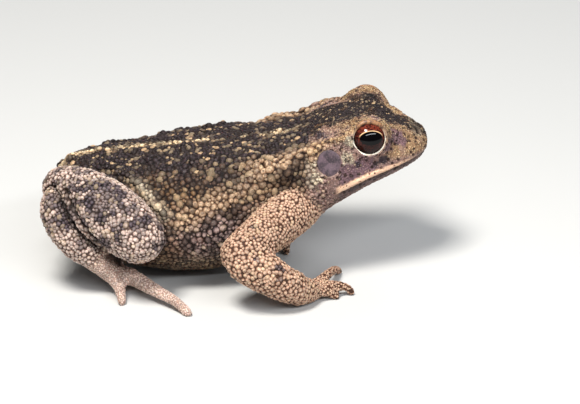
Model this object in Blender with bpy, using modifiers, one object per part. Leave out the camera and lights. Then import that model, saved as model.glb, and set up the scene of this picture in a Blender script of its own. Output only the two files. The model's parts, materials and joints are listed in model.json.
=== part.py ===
"""A life-size American toad sitting with its head raised, one solid for each part of the body."""

import math
import random

import bmesh
import bpy
import numpy as np
from mathutils import Matrix, Vector
from mathutils.bvhtree import BVHTree

# Sizes are in millimetres. +X is forward, +Y the toad's left and +Z up, with the floor at zero.
MM = 0.001
GAP = 0.3  # clearance between solids that touch in life
BODY_VOXEL = 0.5  # grid on which the swellings of the trunk and head are blended
LIMB_VOXEL = 0.4  # finer grid for the legs, which have thin toes
BODY_SMOOTHING = 9  # rounds of smoothing after the blend
LIMB_SMOOTHING = 3
OUTSIDE = 60.0  # a distance that lies outside the whole toad
FLOOR_DEPTH = 20.0

# The trunk and head are one form, and each row is one upright section of it:
# x, height of its top, of its underside, half width, height of its widest point, squareness above and below
BODY_SECTIONS = (
    (-38.6, 18.6, 12.0, 3.0, 15.5, 1.9, 2.0),
    (-37.4, 21.6, 8.6, 7.0, 14.5, 1.7, 2.0),
    (-34.5, 24.0, 5.0, 11.5, 13.5, 1.6, 2.0),
    (-29.0, 25.4, 2.0, 15.5, 13.0, 1.6, 2.0),
    (-22.0, 26.1, 0.5, 18.7, 12.8, 1.6, 1.9),
    (-15.0, 27.0, -0.3, 20.7, 13.0, 1.95, 1.9),
    (-9.0, 27.5, -0.5, 21.2, 13.3, 2.3, 1.9),
    (-2.0, 28.1, 0.3, 20.6, 13.8, 2.6, 1.9),
    (5.0, 28.6, 3.0, 18.4, 15.5, 2.5, 2.0),
    (11.0, 29.7, 6.6, 16.2, 18.0, 2.35, 2.1),
    (16.0, 31.6, 10.2, 15.6, 20.4, 2.4, 2.1),
    (20.0, 33.1, 13.4, 15.0, 22.0, 2.5, 2.1),
    (24.0, 33.7, 16.2, 14.0, 23.0, 2.5, 2.1),
    (28.0, 33.6, 18.6, 12.4, 23.8, 2.4, 2.1),
    (31.5, 33.0, 20.3, 11.0, 24.5, 2.3, 2.1),
    (35.0, 32.0, 21.9, 9.2, 25.2, 2.1, 2.1),
    (38.0, 31.1, 23.3, 7.0, 26.0, 2.0, 2.1),
    (40.0, 30.0, 24.5, 4.7, 26.8, 2.0, 2.0),
    (40.9, 28.4, 25.7, 2.2, 27.0, 2.0, 2.0),
)
SECTION_POINTS = 48
SECTION_STEPS = 4

# The head's furniture, given for the right side and mirrored for the left
EYE_CENTRE = (28.0, -8.9, 31.1)
EYE_RADIUS = 4.2
EYE_AXIS = (0.10, -0.95, 0.26)
EYE_OPENING = 3.35  # radius of the opening between the lids
LID_RADIUS = 3.75
LID_THICKNESS = 0.6
LID_STANDS_AT = 2.55  # from the eye's centre, along the way it looks
ORBIT = ((27.9, -8.4, 31.1), (5.3, 4.9, 4.75))
EAR_X = 19.9
EAR_Z = 27.3
EAR_RADII = (2.7, 3.0, 0.7)
EAR_RIM = 0.4
EAR_SUNK = 0.25
EAR_SEGMENTS = 14
EAR_RINGS = 6
EYE_SEGMENTS = 18
EYE_RINGS = 10
NOSTRIL_INSIDE = (35.6, -1.6, 28.8)  # a point under the skin, from which the nostril opens
NOSTRIL_WAY = (0.50, -0.62, 0.60)
NOSTRIL_RADII = (0.6, 0.42)
NOSTRIL_DEPTH = 0.9
NOSTRIL_SEGMENTS = 8
NOSTRIL_RINGS = 6
PAROTOID = ((8.6, -11.7, 24.9), (7.6, 4.9, 3.2))
PAROTOID_PITCH = math.radians(-20.0)
# Ridges: x, y, z and radius at each of their points
BROW_RIDGE = ((25.2, -8.0, 32.8, 1.6), (22.8, -10.6, 31.2, 1.8), (18.0, -11.8, 29.6, 1.8), (14.6, -11.9, 28.4, 1.6))
SNOUT_RIDGE = ((32.0, -7.0, 31.0, 1.8), (35.2, -5.2, 30.1, 1.6), (38.0, -3.2, 29.0, 1.3))
CREST = ((17.5, -5.6, 31.0, 1.2), (24.0, -5.0, 33.0, 1.2), (30.0, -4.6, 32.7, 1.1), (33.5, -4.2, 31.4, 0.9))
# The mouth's line from the front of the snout to its corner, and then the back of the jaw: x and z
MOUTH_LINE = ((46.0, 26.6), (41.0, 26.1), (37.5, 25.5), (33.5, 24.6), (29.0, 23.2), (25.0, 21.7), (22.0, 20.4))
JAW_BACK = ((20.9, 17.6), (20.2, 5.0))
LIP_RISE = 0.3
LIP_RADIUS = 0.75
LIP_ABOVE = 0.95
LIP_POINTS = 8
LIP_TAPER = 0.6  # radius at the corners of the mouth over the full radius
LIP_ROUNDS = 4  # rounds in which each point of the lip settles on the surface
NECK_X = 15.4

# The legs. Each row is a point on the middle of the flesh and its radius.
ARM_RIGHT = (
    (15.5, -6.0, 18.5, 6.0),
    (12.6, -12.0, 17.2, 6.0),
    (9.2, -18.5, 15.8, 5.3),
    (4.8, -24.3, 14.2, 4.6),
    (1.3, -28.0, 12.7, 4.2),
    (3.0, -29.0, 10.7, 4.2),
    (6.6, -29.0, 8.8, 4.4),
    (10.4, -28.2, 6.1, 3.9),
    (13.4, -26.2, 3.8, 3.4),
    (15.6, -23.6, 2.6, 2.7),
)
FINGERS_RIGHT = (
    ((15.8, -22.0, 2.2, 1.4), (15.6, -19.0, 2.1, 1.15), (14.9, -16.6, 1.3, 0.95), (14.6, -15.2, 0.7, 0.8)),
    ((16.8, -21.6, 2.2, 1.5), (19.3, -17.2, 3.1, 1.2), (21.0, -12.8, 2.6, 1.0), (22.1, -9.0, 0.8, 0.9)),
    ((17.4, -22.2, 2.2, 1.5), (20.6, -20.9, 2.6, 1.2), (23.4, -20.2, 1.9, 1.0), (24.7, -20.1, 0.7, 0.9)),
    ((16.6, -23.4, 2.0, 1.4), (18.8, -22.8, 2.0, 1.15), (20.6, -22.4, 1.3, 0.95), (21.6, -22.2, 0.6, 0.8)),
)
ARM_LEFT = (
    (15.5, 6.0, 18.5, 6.0),
    (12.0, 12.0, 17.4, 5.6),
    (7.8, 18.5, 15.4, 4.9),
    (3.4, 23.8, 12.8, 4.4),
    (-0.6, 27.6, 10.2, 4.3),
    (-0.4, 29.4, 8.0, 4.4),
    (2.4, 28.6, 6.4, 4.4),
    (5.4, 25.8, 4.9, 3.9),
    (7.8, 21.8, 3.4, 3.3),
    (9.2, 18.0, 2.5, 2.7),
)
FINGERS_LEFT = (
    ((9.2, 16.4, 2.2, 1.4), (7.2, 12.8, 2.2, 1.15), (5.6, 10.0, 1.3, 0.95), (5.0, 8.6, 0.7, 0.8)),
    ((9.8, 15.6, 2.2, 1.5), (10.4, 10.2, 2.6, 1.2), (10.9, 4.6, 1.9, 1.0), (11.0, 1.2, 0.8, 0.9)),
    ((10.2, 16.4, 2.2, 1.5), (11.8, 14.6, 2.5, 1.2), (12.6, 13.4, 1.7, 1.0), (13.0, 12.6, 0.7, 0.9)),
    ((10.2, 17.6, 2.0, 1.4), (12.6, 17.4, 2.1, 1.15), (14.2, 17.2, 1.3, 0.95), (15.0, 17.0, 0.6, 0.8)),
)
THIGH_RIGHT = ((-31.0, -5.0, 14.5, 6.8), (-27.0, -11.0, 13.0, 6.6), (-23.0, -16.6, 13.0, 6.0), (-20.0, -21.4, 13.8, 5.0))
SHANK_RIGHT = (
    (-35.6, -10.6, 20.4, 4.9),
    (-32.6, -13.4, 20.2, 6.0),
    (-28.0, -17.4, 18.8, 6.9),
    (-23.4, -21.0, 16.8, 6.8),
    (-19.8, -23.8, 14.8, 5.9),
)
TARSUS_RIGHT = (
    (-34.8, -11.6, 21.2, 3.6),
    (-36.8, -15.6, 18.8, 3.7),
    (-36.2, -17.8, 15.8, 3.7),
    (-33.4, -19.2, 12.0, 3.6),
    (-30.0, -19.4, 9.0, 3.1),
    (-27.2, -19.0, 6.4, 2.6),
    (-25.0, -18.6, 4.2, 2.3),
)
TOES_RIGHT = (
    ((-26.6, -18.8, 5.2, 2.2), (-24.6, -19.8, 3.2, 1.7), (-23.6, -22.6, 1.8, 1.2), (-23.2, -25.4, 0.8, 1.0)),
    ((-26.6, -18.8, 5.4, 2.3), (-21.8, -19.0, 3.9, 1.9), (-16.8, -23.2, 2.7, 1.5), (-12.2, -27.6, 2.0, 1.2),
     (-9.3, -30.8, 0.7, 1.1)),
    ((-26.0, -18.4, 4.8, 2.1), (-21.8, -17.4, 3.0, 1.5), (-18.4, -18.6, 1.8, 1.1), (-16.2, -19.8, 0.8, 0.9)),
    ((-26.0, -18.0, 4.6, 2.0), (-22.8, -16.0, 2.6, 1.3), (-20.0, -15.8, 1.4, 1.0), (-18.2, -16.0, 0.7, 0.85)),
    ((-26.2, -17.6, 4.4, 1.9), (-24.4, -15.2, 2.2, 1.2), (-22.8, -14.0, 1.1, 0.95), (-21.8, -13.4, 0.6, 0.8)),
)
THIGH_LEFT = ((-31.0, 5.0, 13.0, 6.8), (-26.0, 11.5, 10.4, 6.6), (-21.5, 18.0, 9.4, 6.2), (-17.0, 23.6, 9.2, 5.2))
SHANK_LEFT = (
    (-35.4, 12.4, 8.4, 4.2),
    (-31.6, 16.4, 9.4, 5.4),
    (-26.6, 20.6, 10.0, 6.1),
    (-21.6, 23.6, 9.8, 5.9),
    (-17.4, 25.4, 9.4, 5.0),
)
TARSUS_LEFT = (
    (-36.6, 13.4, 6.6, 3.5),
    (-36.4, 17.4, 4.3, 3.3),
    (-33.2, 22.2, 3.3, 3.1),
    (-28.8, 26.2, 3.0, 2.8),
    (-25.0, 28.6, 2.6, 2.4),
)
TOES_LEFT = (
    ((-27.6, 27.2, 2.6, 2.2), (-26.0, 30.0, 2.0, 1.6), (-25.0, 32.8, 1.3, 1.1), (-24.6, 34.6, 0.7, 0.9)),
    ((-27.4, 27.2, 2.7, 2.3), (-21.0, 30.2, 2.4, 1.8), (-14.4, 32.8, 1.9, 1.4), (-8.6, 34.6, 1.4, 1.15),
     (-4.6, 35.2, 0.7, 1.05)),
    ((-27.0, 27.0, 2.6, 2.1), (-20.8, 28.4, 2.0, 1.5), (-15.6, 29.6, 1.4, 1.1), (-12.4, 30.0, 0.7, 0.9)),
    ((-27.2, 26.4, 2.4, 2.0), (-23.0, 25.8, 1.6, 1.3), (-19.6, 26.0, 1.1, 1.0), (-17.4, 26.2, 0.7, 0.85)),
    ((-27.6, 25.8, 2.2, 1.9), (-25.2, 23.8, 1.4, 1.2), (-23.4, 23.0, 1.0, 0.95), (-22.2, 22.6, 0.6, 0.8)),
)
WEB_THICKNESS = 0.45
WEB_REACH = 0.45
WEB_STEPS = 4

# How many triangles each form keeps
BODY_TRIANGLES = 2700
UPPER_ARM_TRIANGLES = 240
FOREARM_TRIANGLES = 280
HAND_TRIANGLES = 620
THIGH_TRIANGLES = 160
SHANK_TRIANGLES = 320
TARSUS_TRIANGLES = 220
FOOT_TRIANGLES = 740

# Where the legs are parted, as the number of the row, counted from zero
ELBOW_ROW = 4
WRIST_ROW = 8
ANKLE_ROW = {"R": 4, "L": 2}

# Warts of each part: how many, least and greatest radius, and the least distance between two
WARTS = {
    "trunk": (52, 0.95, 1.7, 3.8),
    "head": (12, 0.6, 0.9, 2.2),
    "upper_arm_R": (4, 0.8, 1.1, 3.0),
    "upper_arm_L": (4, 0.8, 1.1, 3.0),
    "forearm_R": (5, 0.8, 1.1, 2.8),
    "forearm_L": (5, 0.8, 1.1, 2.8),
    "shank_R": (7, 0.8, 1.2, 3.2),
    "shank_L": (7, 0.8, 1.2, 3.2),
    "tarsus_R": (4, 0.7, 0.9, 2.6),
    "tarsus_L": (4, 0.7, 0.9, 2.6),
}
WART_SIDES = 6
WART_RINGS = 4
WART_HEIGHT = 0.8  # half height over radius
WART_SUNK = 0.2  # depth of its middle under the skin, over its radius
WART_TRIES = 4000
WART_SEED = 11
WART_FLOOR = 7.0  # no wart is lower than this
WART_FACE_X = 31.0  # nor further forward, where the snout is smooth
WART_HEAD_Z = 30.0  # on the head they are on its top and lids
WART_FACES_UP = -0.2  # least upward share of the way the skin faces at a wart
WART_CLEARS = 1.3  # how far it stays from every other part, over its radius

# Colour and roughness of each kind of part
FINISHES = {
    "head": ((0.21, 0.13, 0.075), 0.6),
    "lower_jaw": ((0.36, 0.24, 0.13), 0.6),
    "trunk": ((0.17, 0.11, 0.06), 0.65),
    "tympanum": ((0.14, 0.085, 0.075), 0.5),
    "eye": ((0.035, 0.010, 0.006), 0.08),
    "upper_arm": ((0.38, 0.24, 0.13), 0.6),
    "forearm": ((0.40, 0.26, 0.15), 0.6),
    "hand": ((0.44, 0.29, 0.18), 0.55),
    "thigh": ((0.30, 0.19, 0.13), 0.6),
    "shank": ((0.33, 0.22, 0.16), 0.6),
    "tarsus": ((0.37, 0.25, 0.19), 0.6),
    "foot": ((0.46, 0.31, 0.23), 0.55),
}
SHARP_ANGLE = math.radians(50)


def clear_scene():
    for obj in list(bpy.data.objects):
        bpy.data.objects.remove(obj, do_unlink=True)


def material(name, colour, roughness):
    mat = bpy.data.materials.new(name)
    mat.use_nodes = True
    shader = mat.node_tree.nodes["Principled BSDF"]
    shader.inputs["Base Color"].default_value = (*colour, 1.0)
    shader.inputs["Roughness"].default_value = roughness
    shader.inputs["Metallic"].default_value = 0.0
    return mat


def new_collection(name):
    collection = bpy.data.collections.new(name)
    bpy.context.scene.collection.children.link(collection)
    return collection


def object_of(name, bm, collection):
    mesh = bpy.data.meshes.new(name)
    bm.to_mesh(mesh)
    bm.free()
    obj = bpy.data.objects.new(name, mesh)
    collection.objects.link(obj)
    return obj


def smooth_rows(rows, steps):
    """Rows of numbers on a smooth curve through the given rows, with so many steps between two."""
    rows = [np.array(row, float) for row in rows]
    padded = [2 * rows[0] - rows[1], *rows, 2 * rows[-1] - rows[-2]]
    found = []
    for before, start, end, after in zip(padded, padded[1:], padded[2:], padded[3:]):
        for step in range(steps):
            t = step / steps
            square = 2 * before - 5 * start + 4 * end - after
            cube = 3 * start - before - 3 * end + after
            found.append(0.5 * (2 * start + (end - before) * t + square * t**2 + cube * t**3))
    found.append(rows[-1])
    return found


def loft(bm, rings):
    """A closed skin over rings of equally many points."""
    rows = [[bm.verts.new(Vector(point) * MM) for point in ring] for ring in rings]
    count = len(rows[0])
    for first, second in zip(rows, rows[1:]):
        for i in range(count):
            j = (i + 1) % count
            bm.faces.new((first[i], first[j], second[j], second[i]))
    bm.faces.new(list(reversed(rows[0])))
    bm.faces.new(rows[-1])
    bmesh.ops.recalc_face_normals(bm, faces=bm.faces)


def body_ring(row):
    """One upright section of the trunk or head, square or round as its row says."""
    x, top, bottom, half_width, middle, square_above, square_below = row
    ring = []
    for i in range(SECTION_POINTS):
        angle = 2 * math.pi * i / SECTION_POINTS
        across, up = math.cos(angle), math.sin(angle)
        square = square_above if up >= 0 else square_below
        reach = top - middle if up >= 0 else middle - bottom
        y = half_width * math.copysign(abs(across) ** (2 / square), across)
        z = middle + reach * math.copysign(abs(up) ** (2 / square), up)
        ring.append((x, y, z))
    return ring


def tube(bm, rows, sides=14, steps=5):
    """A round limb along a smooth curve, with round ends. Each row is a point and a radius."""
    rows = smooth_rows(rows, steps)
    points = [Vector(row[:3]) for row in rows]
    radii = [float(row[3]) for row in rows]
    ways = [(b - a).normalized() for a, b in zip(points, points[1:])]
    ways.append(ways[-1])
    side = ways[0].orthogonal().normalized()
    rings = []

    def ring(centre, way, radius):
        up = way.cross(side).normalized()
        turn = [2 * math.pi * i / sides for i in range(sides)]
        return [centre + radius * (math.cos(a) * side + math.sin(a) * up) for a in turn]

    for angle in (80, 55, 28):
        bend = math.radians(angle)
        rings.append(ring(points[0] - ways[0] * radii[0] * math.sin(bend), ways[0], radii[0] * math.cos(bend)))
    for point, way, radius in zip(points, ways, radii):
        side = (side - way * side.dot(way)).normalized()
        rings.append(ring(point, way, radius))
    for angle in (28, 55, 80):
        bend = math.radians(angle)
        rings.append(ring(points[-1] + ways[-1] * radii[-1] * math.sin(bend), ways[-1], radii[-1] * math.cos(bend)))
    part = bmesh.new()
    loft(part, rings)
    merge(bm, part)


def merge(bm, part):
    """Adds one closed shape to a mesh."""
    mesh = bpy.data.meshes.new("piece")
    part.to_mesh(mesh)
    part.free()
    bm.from_mesh(mesh)
    bpy.data.meshes.remove(mesh)


def ellipsoid(bm, centre, radii, turn=None, fineness=3):
    part = bmesh.new()
    bmesh.ops.create_icosphere(part, subdivisions=fineness, radius=1.0)
    turn = turn or Matrix.Identity(3)
    place = Matrix.Translation(Vector(centre) * MM) @ turn.to_4x4() @ Matrix.Diagonal((*[r * MM for r in radii], 1.0))
    bmesh.ops.transform(part, matrix=place, verts=part.verts)
    merge(bm, part)


def web(bm, toe, next_toe, reach):
    """The skin between two toes, as thin as a real one, out to a share of the shorter toe."""
    count = max(2, int(reach * WEB_STEPS * (min(len(toe), len(next_toe)) - 1)))
    first = [Vector(row[:3]) for row in smooth_rows(toe, WEB_STEPS)[: count + 1]]
    second = [Vector(row[:3]) for row in smooth_rows(next_toe, WEB_STEPS)[: count + 1]]
    lift = Vector((0, 0, WEB_THICKNESS))
    part = bmesh.new()
    rings = [(a - lift, b - lift, b + lift, a + lift) for a, b in zip(first, second)]
    loft(part, rings)
    merge(bm, part)


def bake(obj):
    """Replaces the object's mesh by what its modifiers make of it."""
    graph = bpy.context.evaluated_depsgraph_get()
    mesh = bpy.data.meshes.new_from_object(obj.evaluated_get(graph), depsgraph=graph)
    obj.modifiers.clear()
    old = obj.data
    obj.data = mesh
    bpy.data.meshes.remove(old)


def triangle_count(mesh):
    return sum(len(face.vertices) - 2 for face in mesh.polygons)


def blend(obj, voxel, rounds, triangles):
    """Makes one smooth closed surface of overlapping shapes, with about so many triangles."""
    remesh = obj.modifiers.new("blend", "REMESH")
    remesh.mode = "VOXEL"
    remesh.voxel_size = voxel * MM
    smooth = obj.modifiers.new("smooth", "SMOOTH")
    smooth.factor = 0.5
    smooth.iterations = rounds
    bake(obj)
    thin = obj.modifiers.new("thin", "DECIMATE")
    thin.ratio = triangles / triangle_count(obj.data)
    bake(obj)
    keep_largest(obj)


def keep_largest(obj):
    """Drops every loose scrap, so that the solid is one closed surface."""
    bm = bmesh.new()
    bm.from_mesh(obj.data)
    left = set(bm.verts)
    shells = []
    while left:
        shell = set()
        front = [left.pop()]
        while front:
            vert = front.pop()
            shell.add(vert)
            for edge in vert.link_edges:
                other = edge.other_vert(vert)
                if other in left:
                    left.remove(other)
                    front.append(other)
        shells.append(shell)
    shells.sort(key=len)
    for shell in shells[:-1]:
        bmesh.ops.delete(bm, geom=list(shell), context="VERTS")
    bm.to_mesh(obj.data)
    bm.free()


def is_closed(mesh):
    """True if every edge of the mesh has one face on each side and the faces point out."""
    bm = bmesh.new()
    bm.from_mesh(mesh)
    closed = all(edge.is_manifold and edge.is_contiguous for edge in bm.edges)
    closed = closed and bm.calc_volume(signed=True) > 0
    bm.free()
    return closed


def boolean(obj, operation, other=None, collection=None):
    """Joins or cuts solids with the exact solver, or with the manifold one where that leaves a tear."""
    before = obj.data.copy()
    for solver in ("EXACT", "MANIFOLD"):
        step = obj.modifiers.new(operation.lower(), "BOOLEAN")
        step.operation = operation
        step.solver = solver
        if collection:
            step.operand_type = "COLLECTION"
            step.collection = collection
        else:
            step.object = other
        bake(obj)
        if is_closed(obj.data):
            break
        if solver == "EXACT":
            torn = obj.data
            obj.data = before.copy()
            bpy.data.meshes.remove(torn)
    bpy.data.meshes.remove(before)


def grown(obj, amount, cutters):
    """A copy of a solid swollen by an amount, for cutting what touches it."""
    copy = bpy.data.objects.new("grown_" + obj.name, obj.data.copy())
    cutters.objects.link(copy)
    bm = bmesh.new()
    bm.from_mesh(copy.data)
    bm.normal_update()
    for vert in bm.verts:
        vert.co += vert.normal * amount * MM
    bm.to_mesh(copy.data)
    bm.free()
    return copy


def cut_clear(obj, others, cutters):
    """Cuts a solid back until it keeps the clearance to each of the others."""
    for other in others:
        cutter = grown(other, GAP, cutters)
        boolean(obj, "DIFFERENCE", cutter)
        bpy.data.objects.remove(cutter, do_unlink=True)
    keep_largest(obj)


def cut_floor(obj, cutters):
    """Gives what reaches the floor its small flat there."""
    bm = bmesh.new()
    bmesh.ops.create_cube(bm, size=1.0)
    middle_depth = Matrix.Translation((0, 0, -FLOOR_DEPTH * MM / 2))
    place = middle_depth @ Matrix.Diagonal((2 * OUTSIDE * MM, 2 * OUTSIDE * MM, FLOOR_DEPTH * MM, 1.0))
    bmesh.ops.transform(bm, matrix=place, verts=bm.verts)
    cutter = object_of("below_floor", bm, cutters)
    boolean(obj, "DIFFERENCE", cutter)
    bpy.data.objects.remove(cutter, do_unlink=True)


def shells_of(mesh):
    """The faces of each closed surface in a mesh, as sets of numbers, the largest first."""
    bm = bmesh.new()
    bm.from_mesh(mesh)
    left = set(bm.faces)
    shells = []
    while left:
        shell = set()
        front = [left.pop()]
        while front:
            face = front.pop()
            shell.add(face.index)
            for edge in face.edges:
                for other in edge.link_faces:
                    if other in left:
                        left.remove(other)
                        front.append(other)
        shells.append(shell)
    bm.free()
    return sorted(shells, key=len, reverse=True)


def part_at(obj, cutter, count, collection):
    """Parts a solid with a thin cutter into its largest pieces, so many of them."""
    boolean(obj, "DIFFERENCE", cutter)
    bpy.data.objects.remove(cutter, do_unlink=True)
    pieces = []
    for shell in shells_of(obj.data)[:count]:
        bm = bmesh.new()
        bm.from_mesh(obj.data)
        bm.faces.ensure_lookup_table()
        extra = [face for face in bm.faces if face.index not in shell]
        bmesh.ops.delete(bm, geom=extra, context="FACES")
        pieces.append(object_of("piece", bm, collection))
    bpy.data.objects.remove(obj, do_unlink=True)
    return pieces


def middle(obj):
    return sum((vert.co for vert in obj.data.vertices), Vector()) / (len(obj.data.vertices) * MM)


def mirrored(point, side):
    return (point[0], point[1] * side, point[2], *point[3:])


def build_body(collection):
    bm = bmesh.new()
    loft(bm, [body_ring(row) for row in smooth_rows(BODY_SECTIONS, SECTION_STEPS)])
    for side in (1, -1):
        centre, radii = ORBIT
        ellipsoid(bm, mirrored(centre, side), radii)
        centre, radii = PAROTOID
        ellipsoid(bm, mirrored(centre, side), radii, Matrix.Rotation(PAROTOID_PITCH, 3, "Y"))
        for ridge in (BROW_RIDGE, SNOUT_RIDGE, CREST):
            tube(bm, [mirrored(row, side) for row in ridge], sides=10)
    body = object_of("body", bm, collection)
    blend(body, BODY_VOXEL, BODY_SMOOTHING, BODY_TRIANGLES)
    return body


def build_limb(name, tubes, triangles, collection, webs=()):
    bm = bmesh.new()
    for rows in tubes:
        tube(bm, rows)
    for toe, next_toe, reach in webs:
        web(bm, toe, next_toe, reach)
    limb = object_of(name, bm, collection)
    blend(limb, LIMB_VOXEL, LIMB_SMOOTHING, triangles)
    return limb


def kind_of(name):
    return name[:-2] if name.endswith(("_R", "_L")) else name


def finish(obj, materials):
    """Gives a part its material, its smooth shading and an origin at its own middle."""
    kind = kind_of(obj.name)
    if kind not in materials:
        materials[kind] = material(kind, *FINISHES[kind])
    obj.data.name = obj.name
    obj.data.materials.clear()
    obj.data.materials.append(materials[kind])
    obj.data.shade_smooth()
    obj.data.set_sharp_from_angle(angle=SHARP_ANGLE)
    centre = middle(obj) * MM
    obj.data.transform(Matrix.Translation(-centre))
    obj.location = centre


def stand_at_origin(parts):
    """Moves all parts so that the middle of the toad's box stands over the origin, on the floor."""
    points = [vert.co for obj in parts for vert in obj.data.vertices]
    low = [min(point[i] for point in points) for i in range(3)]
    high = [max(point[i] for point in points) for i in range(3)]
    shift = Vector((-(low[0] + high[0]) / 2, -(low[1] + high[1]) / 2, -low[2]))
    for obj in parts:
        obj.data.transform(Matrix.Translation(shift))


def uv_ball(bm, matrix, segments, rings):
    part = bmesh.new()
    bmesh.ops.create_uvsphere(part, u_segments=segments, v_segments=rings, radius=1.0)
    bmesh.ops.transform(part, matrix=matrix, verts=part.verts)
    merge(bm, part)


def ring_mesh(bm, matrix, across, up, thickness, segments=18, sides=5):
    """A ring around the Z axis of its matrix, oval if its two radii differ."""
    rings = []
    for i in range(segments):
        angle = 2 * math.pi * i / segments
        out = Vector((math.cos(angle), math.sin(angle), 0))
        centre = Vector((across * math.cos(angle), up * math.sin(angle), 0))
        turns = [2 * math.pi * j / sides for j in range(sides)]
        rings.append([centre + thickness * (math.cos(a) * out + math.sin(a) * Vector((0, 0, 1))) for a in turns])
    part = bmesh.new()
    rows = [[part.verts.new(matrix @ (point * MM)) for point in ring] for ring in rings]
    for i in range(segments):
        first, second = rows[i], rows[(i + 1) % segments]
        for j in range(sides):
            k = (j + 1) % sides
            part.faces.new((first[j], first[k], second[k], second[j]))
    bmesh.ops.recalc_face_normals(part, faces=part.faces)
    merge(bm, part)


def join_to(obj, bm, operation, cutters):
    """Adds a shape to a solid or cuts it away, and keeps the one largest surface."""
    other = object_of("tool", bm, cutters)
    boolean(obj, operation, other)
    bpy.data.objects.remove(other, do_unlink=True)
    keep_largest(obj)


def facing(point, way, up=(0, 0, 1)):
    """A place with its Z axis along the way and its Y axis as near up as can be."""
    z = Vector(way).normalized()
    x = Vector(up).cross(z).normalized()
    y = z.cross(x)
    turn = Matrix((x, y, z)).transposed().to_4x4()
    return Matrix.Translation(Vector(point) * MM) @ turn


def surface_at(obj, start, way):
    """Where a line meets a solid, in millimetres, and the way the surface faces there."""
    hit, point, normal, _ = obj.ray_cast(Vector(start) * MM, Vector(way).normalized())
    return point / MM, normal


def add_eye(body, side, collection, cutters):
    centre = mirrored(EYE_CENTRE, side)
    axis = Vector(mirrored(EYE_AXIS, side)).normalized()
    lid = bmesh.new()
    ring_mesh(lid, facing(Vector(centre) + axis * LID_STANDS_AT, axis), LID_RADIUS, LID_RADIUS, LID_THICKNESS)
    join_to(body, lid, "UNION", cutters)
    place = facing(centre, axis)
    opening = bmesh.new()
    bmesh.ops.create_cone(opening, cap_ends=True, segments=EYE_SEGMENTS, radius1=EYE_OPENING * MM,
                          radius2=EYE_OPENING * MM, depth=EYE_RADIUS * MM)
    bmesh.ops.transform(opening, matrix=facing(Vector(centre) + axis * EYE_RADIUS, axis), verts=opening.verts)
    join_to(body, opening, "DIFFERENCE", cutters)
    socket = bmesh.new()
    uv_ball(socket, place @ Matrix.Diagonal((*[(EYE_RADIUS + GAP) * MM] * 3, 1.0)), EYE_SEGMENTS, EYE_RINGS)
    join_to(body, socket, "DIFFERENCE", cutters)
    ball = bmesh.new()
    uv_ball(ball, place @ Matrix.Diagonal((*[EYE_RADIUS * MM] * 3, 1.0)), EYE_SEGMENTS, EYE_RINGS)
    return object_of("eye_" + ("R" if side == 1 else "L"), ball, collection)


def add_ear(body, side, collection, cutters):
    point, normal = surface_at(body, (EAR_X, -OUTSIDE * side, EAR_Z), (0, side, 0))
    way = (normal + Vector((0, -side, 0))).normalized()
    place = facing(point, way)
    across, up, thick = EAR_RADII
    rim = bmesh.new()
    ring_mesh(rim, place, across + EAR_RIM, up + EAR_RIM, EAR_RIM, segments=EAR_SEGMENTS)
    join_to(body, rim, "UNION", cutters)
    recess = bmesh.new()
    size = Matrix.Diagonal(((across + GAP) * MM, (up + GAP) * MM, (thick + GAP) * MM, 1.0))
    sunk = Matrix.Translation((0, 0, -EAR_SUNK * MM))
    uv_ball(recess, place @ sunk @ size, EAR_SEGMENTS, EAR_RINGS)
    join_to(body, recess, "DIFFERENCE", cutters)
    drum = bmesh.new()
    size = Matrix.Diagonal((across * MM, up * MM, thick * MM, 1.0))
    uv_ball(drum, place @ sunk @ size, EAR_SEGMENTS, EAR_RINGS)
    return object_of("tympanum_" + ("R" if side == 1 else "L"), drum, collection)


def add_nostril(body, side, cutters):
    way = Vector(mirrored(NOSTRIL_WAY, side)).normalized()
    inside = Vector(mirrored(NOSTRIL_INSIDE, side))
    point, _ = surface_at(body, inside + way * OUTSIDE, -way)
    pit = bmesh.new()
    across, up = NOSTRIL_RADII
    size = Matrix.Diagonal((across * MM, up * MM, NOSTRIL_DEPTH * MM, 1.0))
    uv_ball(pit, facing(point, way) @ size, NOSTRIL_SEGMENTS, NOSTRIL_RINGS)
    join_to(body, pit, "DIFFERENCE", cutters)


def mouth_height(x):
    line = sorted(MOUTH_LINE)
    return float(np.interp(x, [point[0] for point in line], [point[1] for point in line]))


def lip_line(body):
    """Points on the surface of the head along the mouth, from the right corner round the snout to the left."""
    points = []
    corner = Vector((MOUTH_LINE[-1][0] + 0.6, 0, 0))
    for i in range(-LIP_POINTS, LIP_POINTS + 1):
        angle = math.radians(90) * i / LIP_POINTS
        out = Vector((math.cos(angle), math.sin(angle), 0))
        height = mouth_height(corner.x)
        for _ in range(LIP_ROUNDS):
            point, _ = surface_at(body, corner + out * OUTSIDE + Vector((0, 0, height)), -out)
            height = mouth_height(point.x) + LIP_ABOVE
        points.append(point - out * (LIP_RADIUS - LIP_RISE))
    return points


def add_lip(body, cutters):
    bm = bmesh.new()
    points = lip_line(body)
    radii = [LIP_RADIUS] * len(points)
    radii[0] = radii[-1] = LIP_RADIUS * LIP_TAPER
    tube(bm, [(*point, radius) for point, radius in zip(points, radii)], sides=6, steps=1)
    join_to(body, bm, "UNION", cutters)


def ribbon(line, collection):
    """A thin wall along a line in the XZ plane, wide enough to part the whole body."""
    points = [Vector((x, 0, z)) for x, z in line]
    bm = bmesh.new()
    rings = []
    for i, point in enumerate(points):
        way = (points[min(i + 1, len(points) - 1)] - points[max(i - 1, 0)]).normalized()
        off = Vector((-way.z, 0, way.x)) * GAP / 2
        wide = Vector((0, OUTSIDE, 0))
        rings.append((point - off - wide, point + off - wide, point + off + wide, point - off + wide))
    loft(bm, rings)
    return object_of("wall", bm, collection)


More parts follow.
